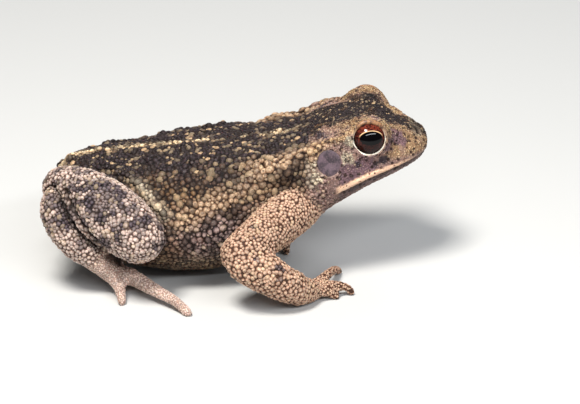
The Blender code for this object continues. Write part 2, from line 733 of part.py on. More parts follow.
def part_body(body, collection, cutters):
    """Parts the body into the trunk, the head and the lower jaw."""
    neck = ribbon(((NECK_X, OUTSIDE), (NECK_X, -OUTSIDE)), cutters)
    trunk, front = sorted(part_at(body, neck, 2, collection), key=lambda piece: middle(piece).x)
    mouth = ribbon((*MOUTH_LINE, *JAW_BACK), cutters)
    jaw, head = sorted(part_at(front, mouth, 2, collection), key=lambda piece: middle(piece).z)
    for piece, name in ((trunk, "trunk"), (head, "head"), (jaw, "lower_jaw")):
        piece.name = name
    return trunk, head, jaw


def random_place(chance, triangles, reach):
    """A point picked evenly over the triangles of a surface, and the way the surface faces there."""
    corners, normal = chance.choices(triangles, cum_weights=reach)[0]
    u, v = chance.random(), chance.random()
    if u + v > 1:
        u, v = 1 - u, 1 - v
    first, second, third = corners
    return first + u * (second - first) + v * (third - first), normal


def surface_triangles(obj):
    """The triangles of a solid in millimetres with their normals, and the running sum of their areas."""
    obj.data.calc_loop_triangles()
    triangles = []
    reach = []
    total = 0.0
    for triangle in obj.data.loop_triangles:
        corners = [obj.data.vertices[i].co / MM for i in triangle.vertices]
        total += triangle.area
        triangles.append((corners, triangle.normal.copy()))
        reach.append(total)
    return triangles, reach


def tree_of(obj):
    points = [vert.co / MM for vert in obj.data.vertices]
    return BVHTree.FromPolygons(points, [face.vertices for face in obj.data.polygons])


def wart_places(obj, others, count, least, most, spacing, chance):
    """Places for warts on the open skin of a part, clear of each other and of every other part."""
    triangles, reach = surface_triangles(obj)
    trees = [tree_of(other) for other in others]
    places = []
    for _ in range(WART_TRIES):
        if len(places) == count:
            break
        point, normal = random_place(chance, triangles, reach)
        radius = chance.uniform(least, most)
        if point.z < WART_FLOOR or point.x > WART_FACE_X or normal.z < WART_FACES_UP:
            continue
        if obj.name == "head" and point.z < WART_HEAD_Z:
            continue
        if any((point - place[0]).length < spacing for place in places):
            continue
        if any(tree.find_nearest(point, WART_CLEARS * radius + GAP)[0] for tree in trees):
            continue
        places.append((point, normal, radius))
    return places


def add_warts(obj, others, chance):
    """Raises warts on a part as low domes with their roots sunk in, and fuses them with it."""
    group = new_collection("warts_" + obj.name)
    for point, normal, radius in wart_places(obj, others, *WARTS[obj.name], chance):
        bm = bmesh.new()
        size = Matrix.Diagonal((radius * MM, radius * MM, radius * WART_HEIGHT * MM, 1.0))
        place = facing(point - normal * radius * WART_SUNK, normal, normal.orthogonal())
        turn = Matrix.Rotation(chance.uniform(0, math.pi), 4, "Z")
        uv_ball(bm, place @ turn @ size, WART_SIDES, WART_RINGS)
        object_of("wart", bm, group)
    boolean(obj, "UNION", collection=group)
    for wart in list(group.objects):
        bpy.data.objects.remove(wart, do_unlink=True)
    bpy.data.collections.remove(group)
    keep_largest(obj)


def main():
    clear_scene()
    toad = new_collection("american_toad")
    cutters = new_collection("cutters")
    body = build_body(toad)
    cut_floor(body, cutters)

    for side, arm, fingers in (("R", ARM_RIGHT, FINGERS_RIGHT), ("L", ARM_LEFT, FINGERS_LEFT)):
        upper = build_limb("upper_arm_" + side, (arm[: ELBOW_ROW + 1],), UPPER_ARM_TRIANGLES, toad)
        cut_clear(upper, [body], cutters)
        fore = build_limb("forearm_" + side, (arm[ELBOW_ROW : WRIST_ROW + 1],), FOREARM_TRIANGLES, toad)
        cut_clear(fore, [body, upper], cutters)
        hand = build_limb("hand_" + side, (arm[WRIST_ROW:], *fingers), HAND_TRIANGLES, toad)
        cut_clear(hand, [body, upper, fore], cutters)
        cut_floor(hand, cutters)
    hind = (
        ("R", THIGH_RIGHT, SHANK_RIGHT, TARSUS_RIGHT, TOES_RIGHT),
        ("L", THIGH_LEFT, SHANK_LEFT, TARSUS_LEFT, TOES_LEFT),
    )
    for side, thigh_rows, shank_rows, tarsus_rows, toes in hind:
        ankle = ANKLE_ROW[side]
        shank = build_limb("shank_" + side, (shank_rows,), SHANK_TRIANGLES, toad)
        cut_clear(shank, [body], cutters)
        thigh = build_limb("thigh_" + side, (thigh_rows,), THIGH_TRIANGLES, toad)
        cut_clear(thigh, [body, shank], cutters)
        tarsus = build_limb("tarsus_" + side, (tarsus_rows[: ankle + 1],), TARSUS_TRIANGLES, toad)
        cut_clear(tarsus, [body, shank, thigh], cutters)
        webs = [(a, b, WEB_REACH) for a, b in zip(toes, toes[1:])]
        foot = build_limb("foot_" + side, (tarsus_rows[ankle:], *toes), FOOT_TRIANGLES, toad, webs)
        cut_clear(foot, [body, shank, thigh, tarsus], cutters)
        for obj in (tarsus, foot):
            cut_floor(obj, cutters)
    for side in (1, -1):
        add_eye(body, side, toad, cutters)
        add_ear(body, side, toad, cutters)
        add_nostril(body, side, cutters)
    add_lip(body, cutters)
    part_body(body, toad, cutters)

    parts = list(toad.objects)
    chance = random.Random(WART_SEED)
    for obj in parts:
        if obj.name in WARTS:
            add_warts(obj, [other for other in parts if other is not obj], chance)
    stand_at_origin(parts)
    materials = {}
    for obj in parts:
        finish(obj, materials)


main()
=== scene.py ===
"""Looks of a life-size American toad: one skin over its flesh, warts as small beads, eyes and eardrums."""

import json
import math
from types import SimpleNamespace

import bpy
import numpy as np
from mathutils import Matrix, Vector, noise
from mathutils.bvhtree import BVHTree

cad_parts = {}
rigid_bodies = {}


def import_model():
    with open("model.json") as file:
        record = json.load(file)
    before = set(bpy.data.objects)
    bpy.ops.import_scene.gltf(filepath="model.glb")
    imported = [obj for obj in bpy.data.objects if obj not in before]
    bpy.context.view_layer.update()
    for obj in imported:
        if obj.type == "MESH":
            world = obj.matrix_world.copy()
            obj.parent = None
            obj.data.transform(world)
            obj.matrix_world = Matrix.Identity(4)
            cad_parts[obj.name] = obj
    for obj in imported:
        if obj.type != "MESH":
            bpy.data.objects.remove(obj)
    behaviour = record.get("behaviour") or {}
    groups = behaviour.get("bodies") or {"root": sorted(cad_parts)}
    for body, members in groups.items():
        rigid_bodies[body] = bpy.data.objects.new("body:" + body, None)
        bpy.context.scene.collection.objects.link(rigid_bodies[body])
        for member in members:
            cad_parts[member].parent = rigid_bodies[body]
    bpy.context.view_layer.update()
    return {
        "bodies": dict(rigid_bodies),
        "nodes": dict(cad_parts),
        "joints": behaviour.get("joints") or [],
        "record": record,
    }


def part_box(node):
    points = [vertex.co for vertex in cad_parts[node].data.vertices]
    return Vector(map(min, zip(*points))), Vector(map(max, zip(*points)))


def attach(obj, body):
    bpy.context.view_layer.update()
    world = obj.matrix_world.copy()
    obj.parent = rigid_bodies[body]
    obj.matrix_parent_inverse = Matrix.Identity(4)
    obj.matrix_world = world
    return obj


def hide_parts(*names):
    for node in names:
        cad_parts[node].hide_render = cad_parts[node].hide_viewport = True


# Sizes are in millimetres. +X is forward, +Y the toad's left and +Z up, with the floor at zero.
MM = 0.001
SEED = 7

# The camera: it looks along +Y from 22 degrees above, and a pixel of the photograph is so many millimetres
PHOTO_SIZE = (580, 404)
PHOTO_CENTRE = (290.0, 202.0)
PIXELS_PER_MM = 4.68
CAMERA_PITCH = math.radians(22)
CAMERA_DISTANCE = 700.0
CAMERA_TARGET = (11.75, 0.0, 12.9)
LOOK = Vector((0, math.cos(CAMERA_PITCH), -math.sin(CAMERA_PITCH)))
SENSOR = 36.0

# The right eye in the toad's own frame, in which all the places below are given
EYE_CENTRE = (28.0, -8.9, 31.1)
EYE_RADIUS = 4.2
EYE_AXIS = (0.10, -0.95, 0.26)
EYE_OPENING = 3.35
GAZE = (0.17, -0.94, 0.29)
CORNEA_RISE = 0.16
CORNEA_EDGE = (1.2, 3.6)
PUPIL = (2.35, 1.45)
LID_RADIUS = 3.5
LID_THICKNESS = 0.34
LID_STANDS_AT = 2.35
UPPER_LID_THICKER = 0.55
UPPER_LID_BENT = 0.45
# The eardrum: the ring of skin around it, and the drum's shape as shares of the solid one's half sizes
EAR_RING = 2.85
EAR_RING_WIDTH = 0.45
EAR_RING_HEIGHT = 0.35
DRUM_REACH = 1.12
DRUM_RISE = 0.9
DRUM_HOLLOW = 0.5
DRUM_HOLLOW_WIDTH = 0.55
# A nostril is a slit through these pixels with a pale rim around it
NOSTRIL = ((414, 124), (417, 127), (419, 131))
NOSTRIL_WIDTH = 0.48
NOSTRIL_RIM = 1.0
NOSTRIL_DEPTH = 0.45
NOSTRIL_RIM_HEIGHT = 0.12
# The mouth's line as places along X and their heights
MOUTH_LINE = (
    (46.0, 26.3), (41.0, 25.7), (37.5, 25.0), (33.5, 24.0), (29.0, 22.6), (25.0, 21.1), (22.0, 19.9),
)
MOUTH_CORNER_X = 21.6
MOUTH_DEPTH = 0.40
MOUTH_WIDTH = 0.33

# The skin
FATTEN = 0.22  # how far each copied part swells, to close the clearance to its neighbour
WELD = 0.01
SKIN_VOXEL = 0.445
SKIN_SMOOTHING = 7
SKIN_UNEVENNESS = 0.10
HEAD_UNEVENNESS = 0.16
# Below this height the skin lies on the floor and sinks no more than this
FLOOR_ZONE = 0.6
FLOOR_SINK = 0.25
# Over how many rounds of neighbours values are softened: the parts, the skin's bulges and its directions
CLOSE_ROUNDS = 3
PART_ROUNDS = 6
BULGE_ROUNDS = 16
DIRECTION_ROUNDS = 5

# For each kind of part: least and greatest radius of its beads, and how far the skin lies inside the solids
BEADS = {
    "trunk": (0.30, 0.80, 0.40),
    "head": (0.15, 0.30, 0.14),
    "lower_jaw": (0.16, 0.28, 0.12),
    "upper_arm": (0.29, 0.47, 0.25),
    "forearm": (0.31, 0.58, 0.28),
    "hand": (0.20, 0.34, 0.14),
    "thigh": (0.26, 0.54, 0.24),
    "shank": (0.26, 0.56, 0.25),
    "tarsus": (0.26, 0.54, 0.24),
    "foot": (0.16, 0.26, 0.08),
}
# The same for the regions of the skin, each laid over the ones before it
REGION_BEADS = {
    "dorsal": (0.22, 0.60, 0.28),
    "belly": (0.30, 0.55, 0.28),
    "neck": (0.26, 0.58, 0.26),
    "parotoid": (0.42, 1.05, 0.36),
    "lump": (0.80, 1.25, 0.40),
}
# Where two parts lie against each other and a furrow shows: the kinds, how deep it is and how dark its
# painted shade is
FURROWS = (
    ("shank", "tarsus", 1.7, 1.0),
    ("shank", "foot", 1.2, 1.0),
    ("trunk", "shank", 1.3, 1.0),
    ("trunk", "thigh", 0.6, 0.7),
    ("trunk", "forearm", 0.5, 0.7),
    ("trunk", "upper_arm", 0.5, 0.5),
    ("trunk", "tarsus", 0.5, 0.7),
)
# Each round of beads: its least and greatest share between the two radii, and tries on a square millimetre
BEAD_ROUNDS = ((0.75, 1.0, 0.35), (0.35, 0.8, 2.5), (0.0, 0.4, 11.0))
BEAD_SPACING = 0.80
LARGE_BEAD = 0.3
# A bead stands where the skin is more open than a random number with this least value and range
OPENNESS = (0.2, 0.6)
# How high bare skin counts between the ground with its painted shade, 0, and the top of a bead with its
# painted light, 1
BARE_RISE = 0.62
# How uneven the beads are: how many forms of each, and by how much the forms and the single beads differ
BEAD_FORMS = 7
BEAD_UNEVENNESS = 0.07
BEAD_LEAN = 0.20
BEAD_TIP = 0.12
BEAD_WIDTHS = (0.86, 0.28)
BEAD_HEIGHTS = (0.78, 0.32)
# The search grid for the room between beads, and how its cells are numbered
GRID = 1.9
GRID_START = 300
GRID_ROW = 1000
# The unwrap, and the share of it that one bead covers
UNWRAP_FACES = 4000
UNWRAP_ANGLE = math.radians(66)
ISLAND_GAP = 0.004
PATCH = 0.003

# The markings: places on the photograph where they lie on the right side, and their sizes
BAND = ((165, 231), (185, 221), (207, 205), (228, 194), (246, 186))
BAND_WIDTH = 2.0
FOLD = ((104, 163), (122, 171), (140, 184), (155, 202), (165, 217))
FOLD_WIDTH = 1.0
FOLD_HEIGHT = 0.9
# The crease between the folded leg's two long parts, on the right side: its pixels, width and depth
CREASE = ((62, 188), (66, 199), (73, 214), (84, 231), (97, 245), (112, 257), (127, 264))
CREASE_WIDTH = 0.8
CREASE_DEPTH = 1.3
# Ridges of the head: the pixels they run through, their width and their height
RIDGES = (
    (((352, 138), (340, 139), (326, 142), (317, 148), (312, 158)), 0.75, 0.55),
    (((349, 130), (354, 120), (366, 113), (380, 114), (391, 121)), 0.80, 0.35),
    (((396, 128), (406, 124), (416, 126)), 0.80, 0.30),
    (((356, 158), (350, 166), (346, 176), (344, 186)), 0.60, 0.30),
)
PAROTOID = ((262, 158), (262, 170), (275, 160), (292, 152), (308, 147))
PAROTOID_WIDTH = 3.6
LEG_BLOTCHES = (
    (110, 190, 2.1), (104, 184, 1.6), (89, 199, 1.8), (99, 216, 1.9), (139, 222, 2.2), (147, 217, 1.5),
    (116, 236, 1.5), (60, 217, 2.0), (66, 224, 1.4), (81, 241, 1.5), (127, 211, 1.3), (78, 178, 1.2),
    (102, 262, 1.1), (137, 286, 1.2), (88, 170, 1.1), (95, 192, 1.6), (121, 203, 1.4), (112, 214, 1.2),
    (103, 203, 2.4), (120, 194, 2.0), (133, 206, 1.5), (87, 212, 1.6), (55, 206, 1.3),
    (95, 184, 1.8), (108, 199, 1.6), (84, 187, 1.4),
)
ARM_BLOTCHES = (
    (254, 226, 0.8), (255, 236, 0.7), (256, 259, 0.8), (281, 268, 1.3), (281, 281, 0.6), (295, 217, 0.6),
)
FACE_BLOTCHES = (
    (391, 138, 0.7), (393, 142, 0.7), (398, 144, 0.5), (384, 160, 1.1), (377, 163, 0.8), (319, 134, 1.2),
    (324, 137, 1.0), (358, 165, 0.8),
)
MAUVE = (
    (352, 175, 2.6), (366, 166, 2.4), (346, 168, 1.8), (390, 146, 1.6), (395, 133, 1.5), (399, 137, 1.8),
    (403, 141, 1.2),
)
WHITISH = ((347, 158, 1.5), (306, 170, 2.4), (313, 180, 1.8), (349, 143, 1.3))

# The depth of the fine relief, in metres
SKIN_RELIEF = 0.00026
FINE_RELIEF = 0.0001

# The floor and the lights, in metres: place, size, power, colour and whether glossy skin mirrors it
FLOOR_SIZE = 4.0
FLOOR_COLOUR = (0.54, 0.54, 0.53, 1)
WORLD_COLOUR = (0.85, 0.92, 1.0, 1)
WORLD_STRENGTH = 0.13
LIGHTS_AIM = (0.0, 0.0, 0.015)
LIGHTS = {
    "key": ((-0.12, -0.22, 0.50), (0.16, 0.16), 4.6, (1.0, 0.97, 0.92), True),
    "catch": ((0.145, -0.38, 0.33), (0.60, 0.035), 1.9, (0.93, 0.96, 1.0), True),
    "fill": ((0.5, -0.6, 0.35), (0.5, 0.5), 1.2, (0.95, 0.97, 1.0), False),
    "back": ((0.1, 0.5, 0.5), (0.35, 0.35), 1.5, (0.95, 0.97, 1.0), True),
}


def limit(value):
    return np.clip(value, 0, 1)


def ramp(value, low, high):
    """Rises softly from 0 at the low value to 1 at the high one."""
    share = limit((value - low) / (high - low))
    return share * share * (3 - 2 * share)


def pick(objects):
    """Selects these objects and no others."""
    bpy.ops.object.select_all(action="DESELECT")
    for obj in objects:
        obj.select_set(True)
    bpy.context.view_layer.objects.active = objects[0]


def new_object(name, data):
    obj = bpy.data.objects.new(name, data)
    bpy.context.scene.collection.objects.link(obj)
    return obj


def edit_all(obj):
    """Opens the object for editing with all of it selected."""
    pick([obj])
    bpy.ops.object.mode_set(mode="EDIT")
    bpy.ops.mesh.select_all(action="SELECT")


def apply_all(obj):
    pick([obj])
    for modifier in list(obj.modifiers):
        bpy.ops.object.modifier_apply(modifier=modifier.name)


def kind_of(name):
    return name[:-2] if name.endswith(("_R", "_L")) else name


def coordinates(mesh):
    """The mesh's points as an array, in millimetres."""
    flat = np.empty(len(mesh.vertices) * 3, np.float32)
    mesh.vertices.foreach_get("co", flat)
    return flat.reshape(-1, 3).astype(float) / MM


def normals_of(mesh):
    flat = np.empty(len(mesh.vertices) * 3, np.float32)
    mesh.vertex_normals.foreach_get("vector", flat)
    return flat.reshape(-1, 3).astype(float)


def set_coordinates(mesh, points):
    mesh.vertices.foreach_set("co", (points * MM).astype(np.float32).ravel())
    mesh.update()


def mirrored(point, side):
    return (point[0], point[1] * side, point[2])


def facing(point, way):
    """A place, in metres, with its Z axis along the way and its Y axis as near up as can be."""
    z = Vector(way).normalized()
    x = Vector((0, 0, 1)).cross(z).normalized()
    turn = Matrix((x, z.cross(x), z)).transposed().to_4x4()
    return Matrix.Translation(Vector(point) * MM) @ turn


class Toad:
    """The frame's solids and where the toad's own frame lies in them."""

    def __init__(self, frame):
        self.nodes = frame["nodes"]
        low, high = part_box("eye_R")
        middle = (low + high) / 2 / MM
        self.shift = np.array(middle) - np.array(EYE_CENTRE)
        self.flesh = [name for name in sorted(self.nodes) if kind_of(name) in BEADS]

    def place(self, point):
        """A point of the toad's own frame in the frame of the solids."""
        return Vector(point) + Vector(self.shift)


def camera_place(toad):
    return toad.place(CAMERA_TARGET) - LOOK * CAMERA_DISTANCE


def photo_ray(toad, pixel):
    """Where a pixel of the photograph starts its line of sight, and the line's direction, in millimetres."""
    right = Vector((1, 0, 0))
    up = right.cross(LOOK)
    across = (pixel[0] - PHOTO_CENTRE[0]) / PIXELS_PER_MM
    rise = (PHOTO_CENTRE[1] - pixel[1]) / PIXELS_PER_MM
    way = (LOOK * CAMERA_DISTANCE + right * across + up * rise).normalized()
    return camera_place(toad), way


def make_skin(toad):
    """One closed surface over all the parts of flesh."""
    copies = []
    for name in toad.flesh:
        mesh = toad.nodes[name].data.copy()
        mesh.materials.clear()
        copy = new_object("flesh", mesh)
        edit_all(copy)
        bpy.ops.mesh.remove_doubles(threshold=WELD * MM)
        bpy.ops.transform.shrink_fatten(value=FATTEN * MM)
        bpy.ops.object.mode_set(mode="OBJECT")
        copies.append(copy)
    pick(copies)
    bpy.ops.object.join()
    skin = bpy.context.active_object
    skin.name = skin.data.name = "skin"
    remesh = skin.modifiers.new("one surface", "REMESH")
    remesh.mode = "VOXEL"
    remesh.voxel_size = SKIN_VOXEL * MM
    smooth = skin.modifiers.new("soft", "SMOOTH")
    smooth.factor = 0.5
    smooth.iterations = SKIN_SMOOTHING
    apply_all(skin)
    return keep_outer(skin)


def keep_outer(obj):
    """Removes closed scraps inside the skin."""
    edit_all(obj)
    bpy.ops.mesh.separate(type="LOOSE")
    bpy.ops.object.mode_set(mode="OBJECT")
    pieces = sorted(bpy.context.selected_objects, key=lambda piece: len(piece.data.vertices))
    for scrap in pieces[:-1]:
        bpy.data.objects.remove(scrap, do_unlink=True)
    pieces[-1].name = pieces[-1].data.name = "skin"
    return pieces[-1]


def part_of_each_point(toad, points):
    """For each point the number of the part of flesh that it lies nearest to."""
    corners = []
    faces = []
    owner = []
    for number, name in enumerate(toad.flesh):
        mesh = toad.nodes[name].data
        start = len(corners)
        corners.extend(vert.co / MM for vert in mesh.vertices)
        for face in mesh.polygons:
            faces.append([start + i for i in face.vertices])
            owner.append(number)
    tree = BVHTree.FromPolygons(corners, faces)
    return np.array([owner[tree.find_nearest(point)[2]] for point in points])


class Surface:
    """The skin as arrays in millimetres, with a value for each of its fields at each point."""

    def __init__(self, toad, obj):
        self.toad = toad
        self.obj = obj
        mesh = obj.data
        self.points = coordinates(mesh)
        self.own = self.points - toad.shift
        self.normals = normals_of(mesh)
        edges = np.empty(len(mesh.edges) * 2, np.int32)
        mesh.edges.foreach_get("vertices", edges)
        self.edges = edges.reshape(-1, 2)
        self.degree = np.bincount(self.edges.ravel(), minlength=len(self.points)).astype(float)
        faces = [face.vertices for face in mesh.polygons]
        self.tree = BVHTree.FromPolygons([Vector(point) for point in self.points], faces)
        self.part = part_of_each_point(toad, self.points)
        self.ragged = patchy(self.own, 1.3, 21) - 0.5
        self.kinds = {}
        self.close_kinds = {}
        for kind in BEADS:
            numbers = [i for i, name in enumerate(toad.flesh) if kind_of(name) == kind]
            self.close_kinds[kind] = self.spread(np.isin(self.part, numbers).astype(float), CLOSE_ROUNDS)
            self.kinds[kind] = self.spread(self.close_kinds[kind], PART_ROUNDS)
        soft = np.array([self.spread(self.points[:, i], BULGE_ROUNDS) for i in range(3)]).T
        self.bulge = ((self.points - soft) * self.normals).sum(axis=1)

    def spread(self, values, rounds):
        """Values softened over the surface, each round with those of the neighbouring points."""
        first, second = self.edges.T
        for _ in range(rounds):
            total = np.bincount(first, values[second], len(values))
            total = total + np.bincount(second, values[first], len(values))
            values = 0.5 * values + 0.5 * total / np.maximum(self.degree, 1)
        return values

    def seen_at(self, pixel):
        """The point of the skin that a pixel of the photograph shows."""
        start, way = photo_ray(self.toad, pixel)
        hit = self.tree.ray_cast(start, way)[0]
        if hit is None:
            raise ValueError(f"no skin at pixel {pixel}")
        return np.array(hit)

    def both_sides(self, point):
        """A place on the skin and the same place on the toad's other side."""
        other = point.copy()
        other[1] = 2 * self.toad.shift[1] - point[1]
        return point, other

    def near_spot(self, point, radius):
        distance = np.linalg.norm(self.points - point, axis=1) / radius
        return 1 - ramp(distance + 1.1 * self.ragged, 0.75, 1.15)

    def spots(self, marks, mirror=True):
        """How much each point lies in one of these round marks, given by pixel and radius."""
        found = np.zeros(len(self.points))
        for u, v, radius in marks:
            place = self.seen_at((u, v))
            for centre in self.both_sides(place)[: 2 if mirror else 1]:
                found = np.maximum(found, self.near_spot(centre, radius))
        return found

    def line(self, pixels, width):
        """How near each point lies to a line drawn on the skin, on both sides of the toad."""
        found = np.zeros(len(self.points))
        places = [self.seen_at(pixel) for pixel in pixels]
        for side in range(2):
            line = [self.both_sides(place)[side] for place in places]
            distance = np.full(len(self.points), 1e3)
            for start, end in zip(line, line[1:]):
                way = end - start
                share = limit((self.points - start) @ way / (way @ way))
                foot = start + share[:, None] * way
                distance = np.minimum(distance, np.linalg.norm(self.points - foot, axis=1))
            found = np.maximum(found, np.exp(-((distance / width) ** 2)))
        return found


def patchy(points, scale, seed, detail=3):
    """Soft patches between 0 and 1, the same each time."""
    offset = Vector((seed * 17.3, seed * 5.1, seed * 9.7))
    values = [noise.fractal(Vector(point) / scale + offset, 1.0, 2.0, detail) for point in points]
    return limit(0.5 + 0.5 * np.array(values))


def mouth_height(x):
    line = sorted(MOUTH_LINE)
    return np.interp(x, [point[0] for point in line], [point[1] for point in line])


def add_body_fields(surface, fields):
    """The regions of the trunk and the legs, and the folds and ridges of the skin."""
    x, y, z = surface.own.T
    trunk = fields.trunk
    # How far from the middle the pattern of the back reaches, a little wider toward the rear
    reach = 9.5 - 0.05 * np.clip(x + 5, -30, 10)
    fields.dorsal = trunk * (1 - ramp(np.abs(y), reach - 3.0, reach + 2.5)) * ramp(z, 14, 19)
    fields.lump = trunk * ramp(surface.bulge, 0.28, 0.55) * (surface.points[:, 2] > 5)
    fields.neck = limit(fields.head * (1 - ramp(x, 17.5, 20.5)) + trunk * ramp(x, 9, 14))
    fields.neck *= 1 - ramp(z, 25, 28)
    fields.belly = trunk * (1 - ramp(surface.normals[:, 2], -0.75, -0.35))
    fields.parotoid = surface.line(PAROTOID, PAROTOID_WIDTH) * ramp(z, 19, 22) * ramp(np.abs(y), 6.5, 9)
    fields.fold = surface.line(FOLD, FOLD_WIDTH) * trunk
    fields.ridge = sum(height * surface.line(pixels, width) for pixels, width, height in RIDGES)
    fields.crease = surface.line(CREASE, CREASE_WIDTH) * (y < 0)
    # The crease and the furrows set how deep the skin sinks there and how much painted shade darkens it
    fields.furrow = fields.crease
    fields.furrow_depth = CREASE_DEPTH * fields.crease
    for first, second, deep, dark in FURROWS:
        between = limit(4 * surface.close_kinds[first] * surface.close_kinds[second])
        fields.furrow = np.maximum(fields.furrow, dark * between)
        fields.furrow_depth = np.maximum(fields.furrow_depth, deep * between)


def add_head_fields(surface, fields):
    """The regions of the head, and where the skin carries no beads."""
    own = surface.own
    x, y, z = own.T
    head = fields.head
    mouth = z - mouth_height(x)
    on_jaw = head * ramp(x, MOUTH_CORNER_X - 0.5, MOUTH_CORNER_X + 0.8)
    fields.mouth = on_jaw * np.exp(-((mouth / MOUTH_WIDTH) ** 2))
    lip_top = 2.3 - 1.1 * ramp(x, 27, 38)
    fields.lip = on_jaw * ramp(mouth, 0.15, 0.45) * (1 - ramp(mouth, lip_top - 0.4, lip_top))
    # Painted shade: the down-facing side of the lower jaw below the mouth is darkened through the blotch
    # mark
    sideways = ramp(surface.normals[:, 2], -0.85, -0.5)
    fields.jaw_side = on_jaw * (1 - ramp(mouth, -0.4, 0.0)) * sideways
    fields.jaw_edge = on_jaw * ramp(mouth, -1.0, -0.6) * (1 - ramp(mouth, -0.3, 0.0))
    fields.eye_rim = np.zeros(len(own))
    for side in (1, -1):
        centre = np.array(mirrored(EYE_CENTRE, side))
        axis = np.array(Vector(mirrored(EYE_AXIS, side)).normalized())
        along = (own - centre) @ axis
        away = np.linalg.norm(own - centre - along[:, None] * axis, axis=1)
        ring = 1 - ramp(away, EYE_OPENING + 0.4, EYE_OPENING + 1.0)
        fields.eye_rim = np.maximum(fields.eye_rim, ring * (along > 0) * head)
    fields.nostril = surface.line(NOSTRIL, NOSTRIL_WIDTH)
    fields.nostril_rim = limit(1.3 * surface.line(NOSTRIL, NOSTRIL_RIM) - 1.6 * fields.nostril)
    fields.near_ear = np.zeros(len(own))
    fields.ear_ring = np.zeros(len(own))
    for side in ("R", "L"):
        low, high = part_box("tympanum_" + side)
        centre = np.array((low + high) / 2 / MM)
        distance = np.linalg.norm(surface.points - centre, axis=1)
        fields.near_ear = np.maximum(fields.near_ear, 1 - ramp(distance, 2.6, 3.3))
        ring = np.exp(-(((distance - EAR_RING) / EAR_RING_WIDTH) ** 2))
        fields.ear_ring = np.maximum(fields.ear_ring, ring)
    # The top of the head has an uneven edge and is narrower on the snout
    ragged = 5.0 * (patchy(own, 2.6, 13) - 0.5)
    half = 5.5 - 3.4 * ramp(x, 30, 35)
    fields.crown = head * ramp(z + ragged, 28.5, 30.5) * (1 - ramp(np.abs(y) + ragged, half, half + 2))
    temple = ramp(z, 25.5, 27.5) * (1 - ramp(x, 24, 27)) + ramp(z, 31.0, 33.0)
    open_face = (0.65 - 0.35 * limit(temple)) * limit(head - fields.crown - fields.neck)
    fields.bare = limit(
        open_face + fields.eye_rim + fields.near_ear + 1.2 * fields.mouth + fields.lip
        + fields.jaw_edge + 2.0 * fields.nostril + 0.8 * fields.nostril_rim * head)


def shape_skin(surface):
    """Sinks the skin under its beads and adds the mouth, nostrils, ridges, folds and creases.

    It gives back the fields: how much each point lies in each region, as values that are mostly from 0 to 1.
    """
    own = surface.own
    head = np.maximum(surface.kinds["head"], surface.kinds["lower_jaw"])
    fields = SimpleNamespace(head=head, trunk=surface.kinds["trunk"])
    add_body_fields(surface, fields)
    add_head_fields(surface, fields)
    fields.least, fields.most, depth = bead_sizes(surface, fields)
    depth = depth * (1 - limit(fields.eye_rim + fields.near_ear + 0.7 * fields.lip))
    move = -FATTEN - depth
    move = move - MOUTH_DEPTH * fields.mouth - NOSTRIL_DEPTH * fields.nostril + FOLD_HEIGHT * fields.fold
    move = move + fields.ridge * (1 - fields.near_ear)
    move = move + HEAD_UNEVENNESS * (patchy(own, 1.1, 9, 2) - 0.5) * head
    move = move + NOSTRIL_RIM_HEIGHT * fields.nostril_rim
    move = move + EAR_RING_HEIGHT * fields.ear_ring * ramp(own[:, 2], 22.5, 26.5)
    move = move - fields.furrow_depth + SKIN_UNEVENNESS * (patchy(own, 2.2, 1, 2) - 0.5)
    on_floor = surface.points[:, 2] < FLOOR_ZONE
    move = np.where(on_floor, np.maximum(move, -FLOOR_SINK), move)
    surface.points = surface.points + surface.normals * move[:, None]
    surface.points[:, 2] = np.maximum(surface.points[:, 2], 0.0)
    set_coordinates(surface.obj.data, surface.points)
    # Soft directions, so that no bead leans out from the side of a small unevenness
    soft = np.array([surface.spread(way, DIRECTION_ROUNDS) for way in normals_of(surface.obj.data).T]).T
    surface.normals = soft / np.linalg.norm(soft, axis=1)[:, None]
    surface.own = surface.points - surface.toad.shift
    return fields


def bead_sizes(surface, fields):
    """Least and greatest radius of the beads at each point, and how far the skin lies inside the solids."""
    sizes = np.zeros((len(surface.points), 3))
    total = np.zeros(len(surface.points))
    for kind, weight in surface.kinds.items():
        sizes += weight[:, None] * np.array(BEADS[kind])
        total += weight
    sizes /= np.maximum(total, 1e-6)[:, None]
    for field, size in REGION_BEADS.items():
        weight = getattr(fields, field)[:, None]
        sizes = sizes * (1 - weight) + weight * np.array(size)
    return sizes.T


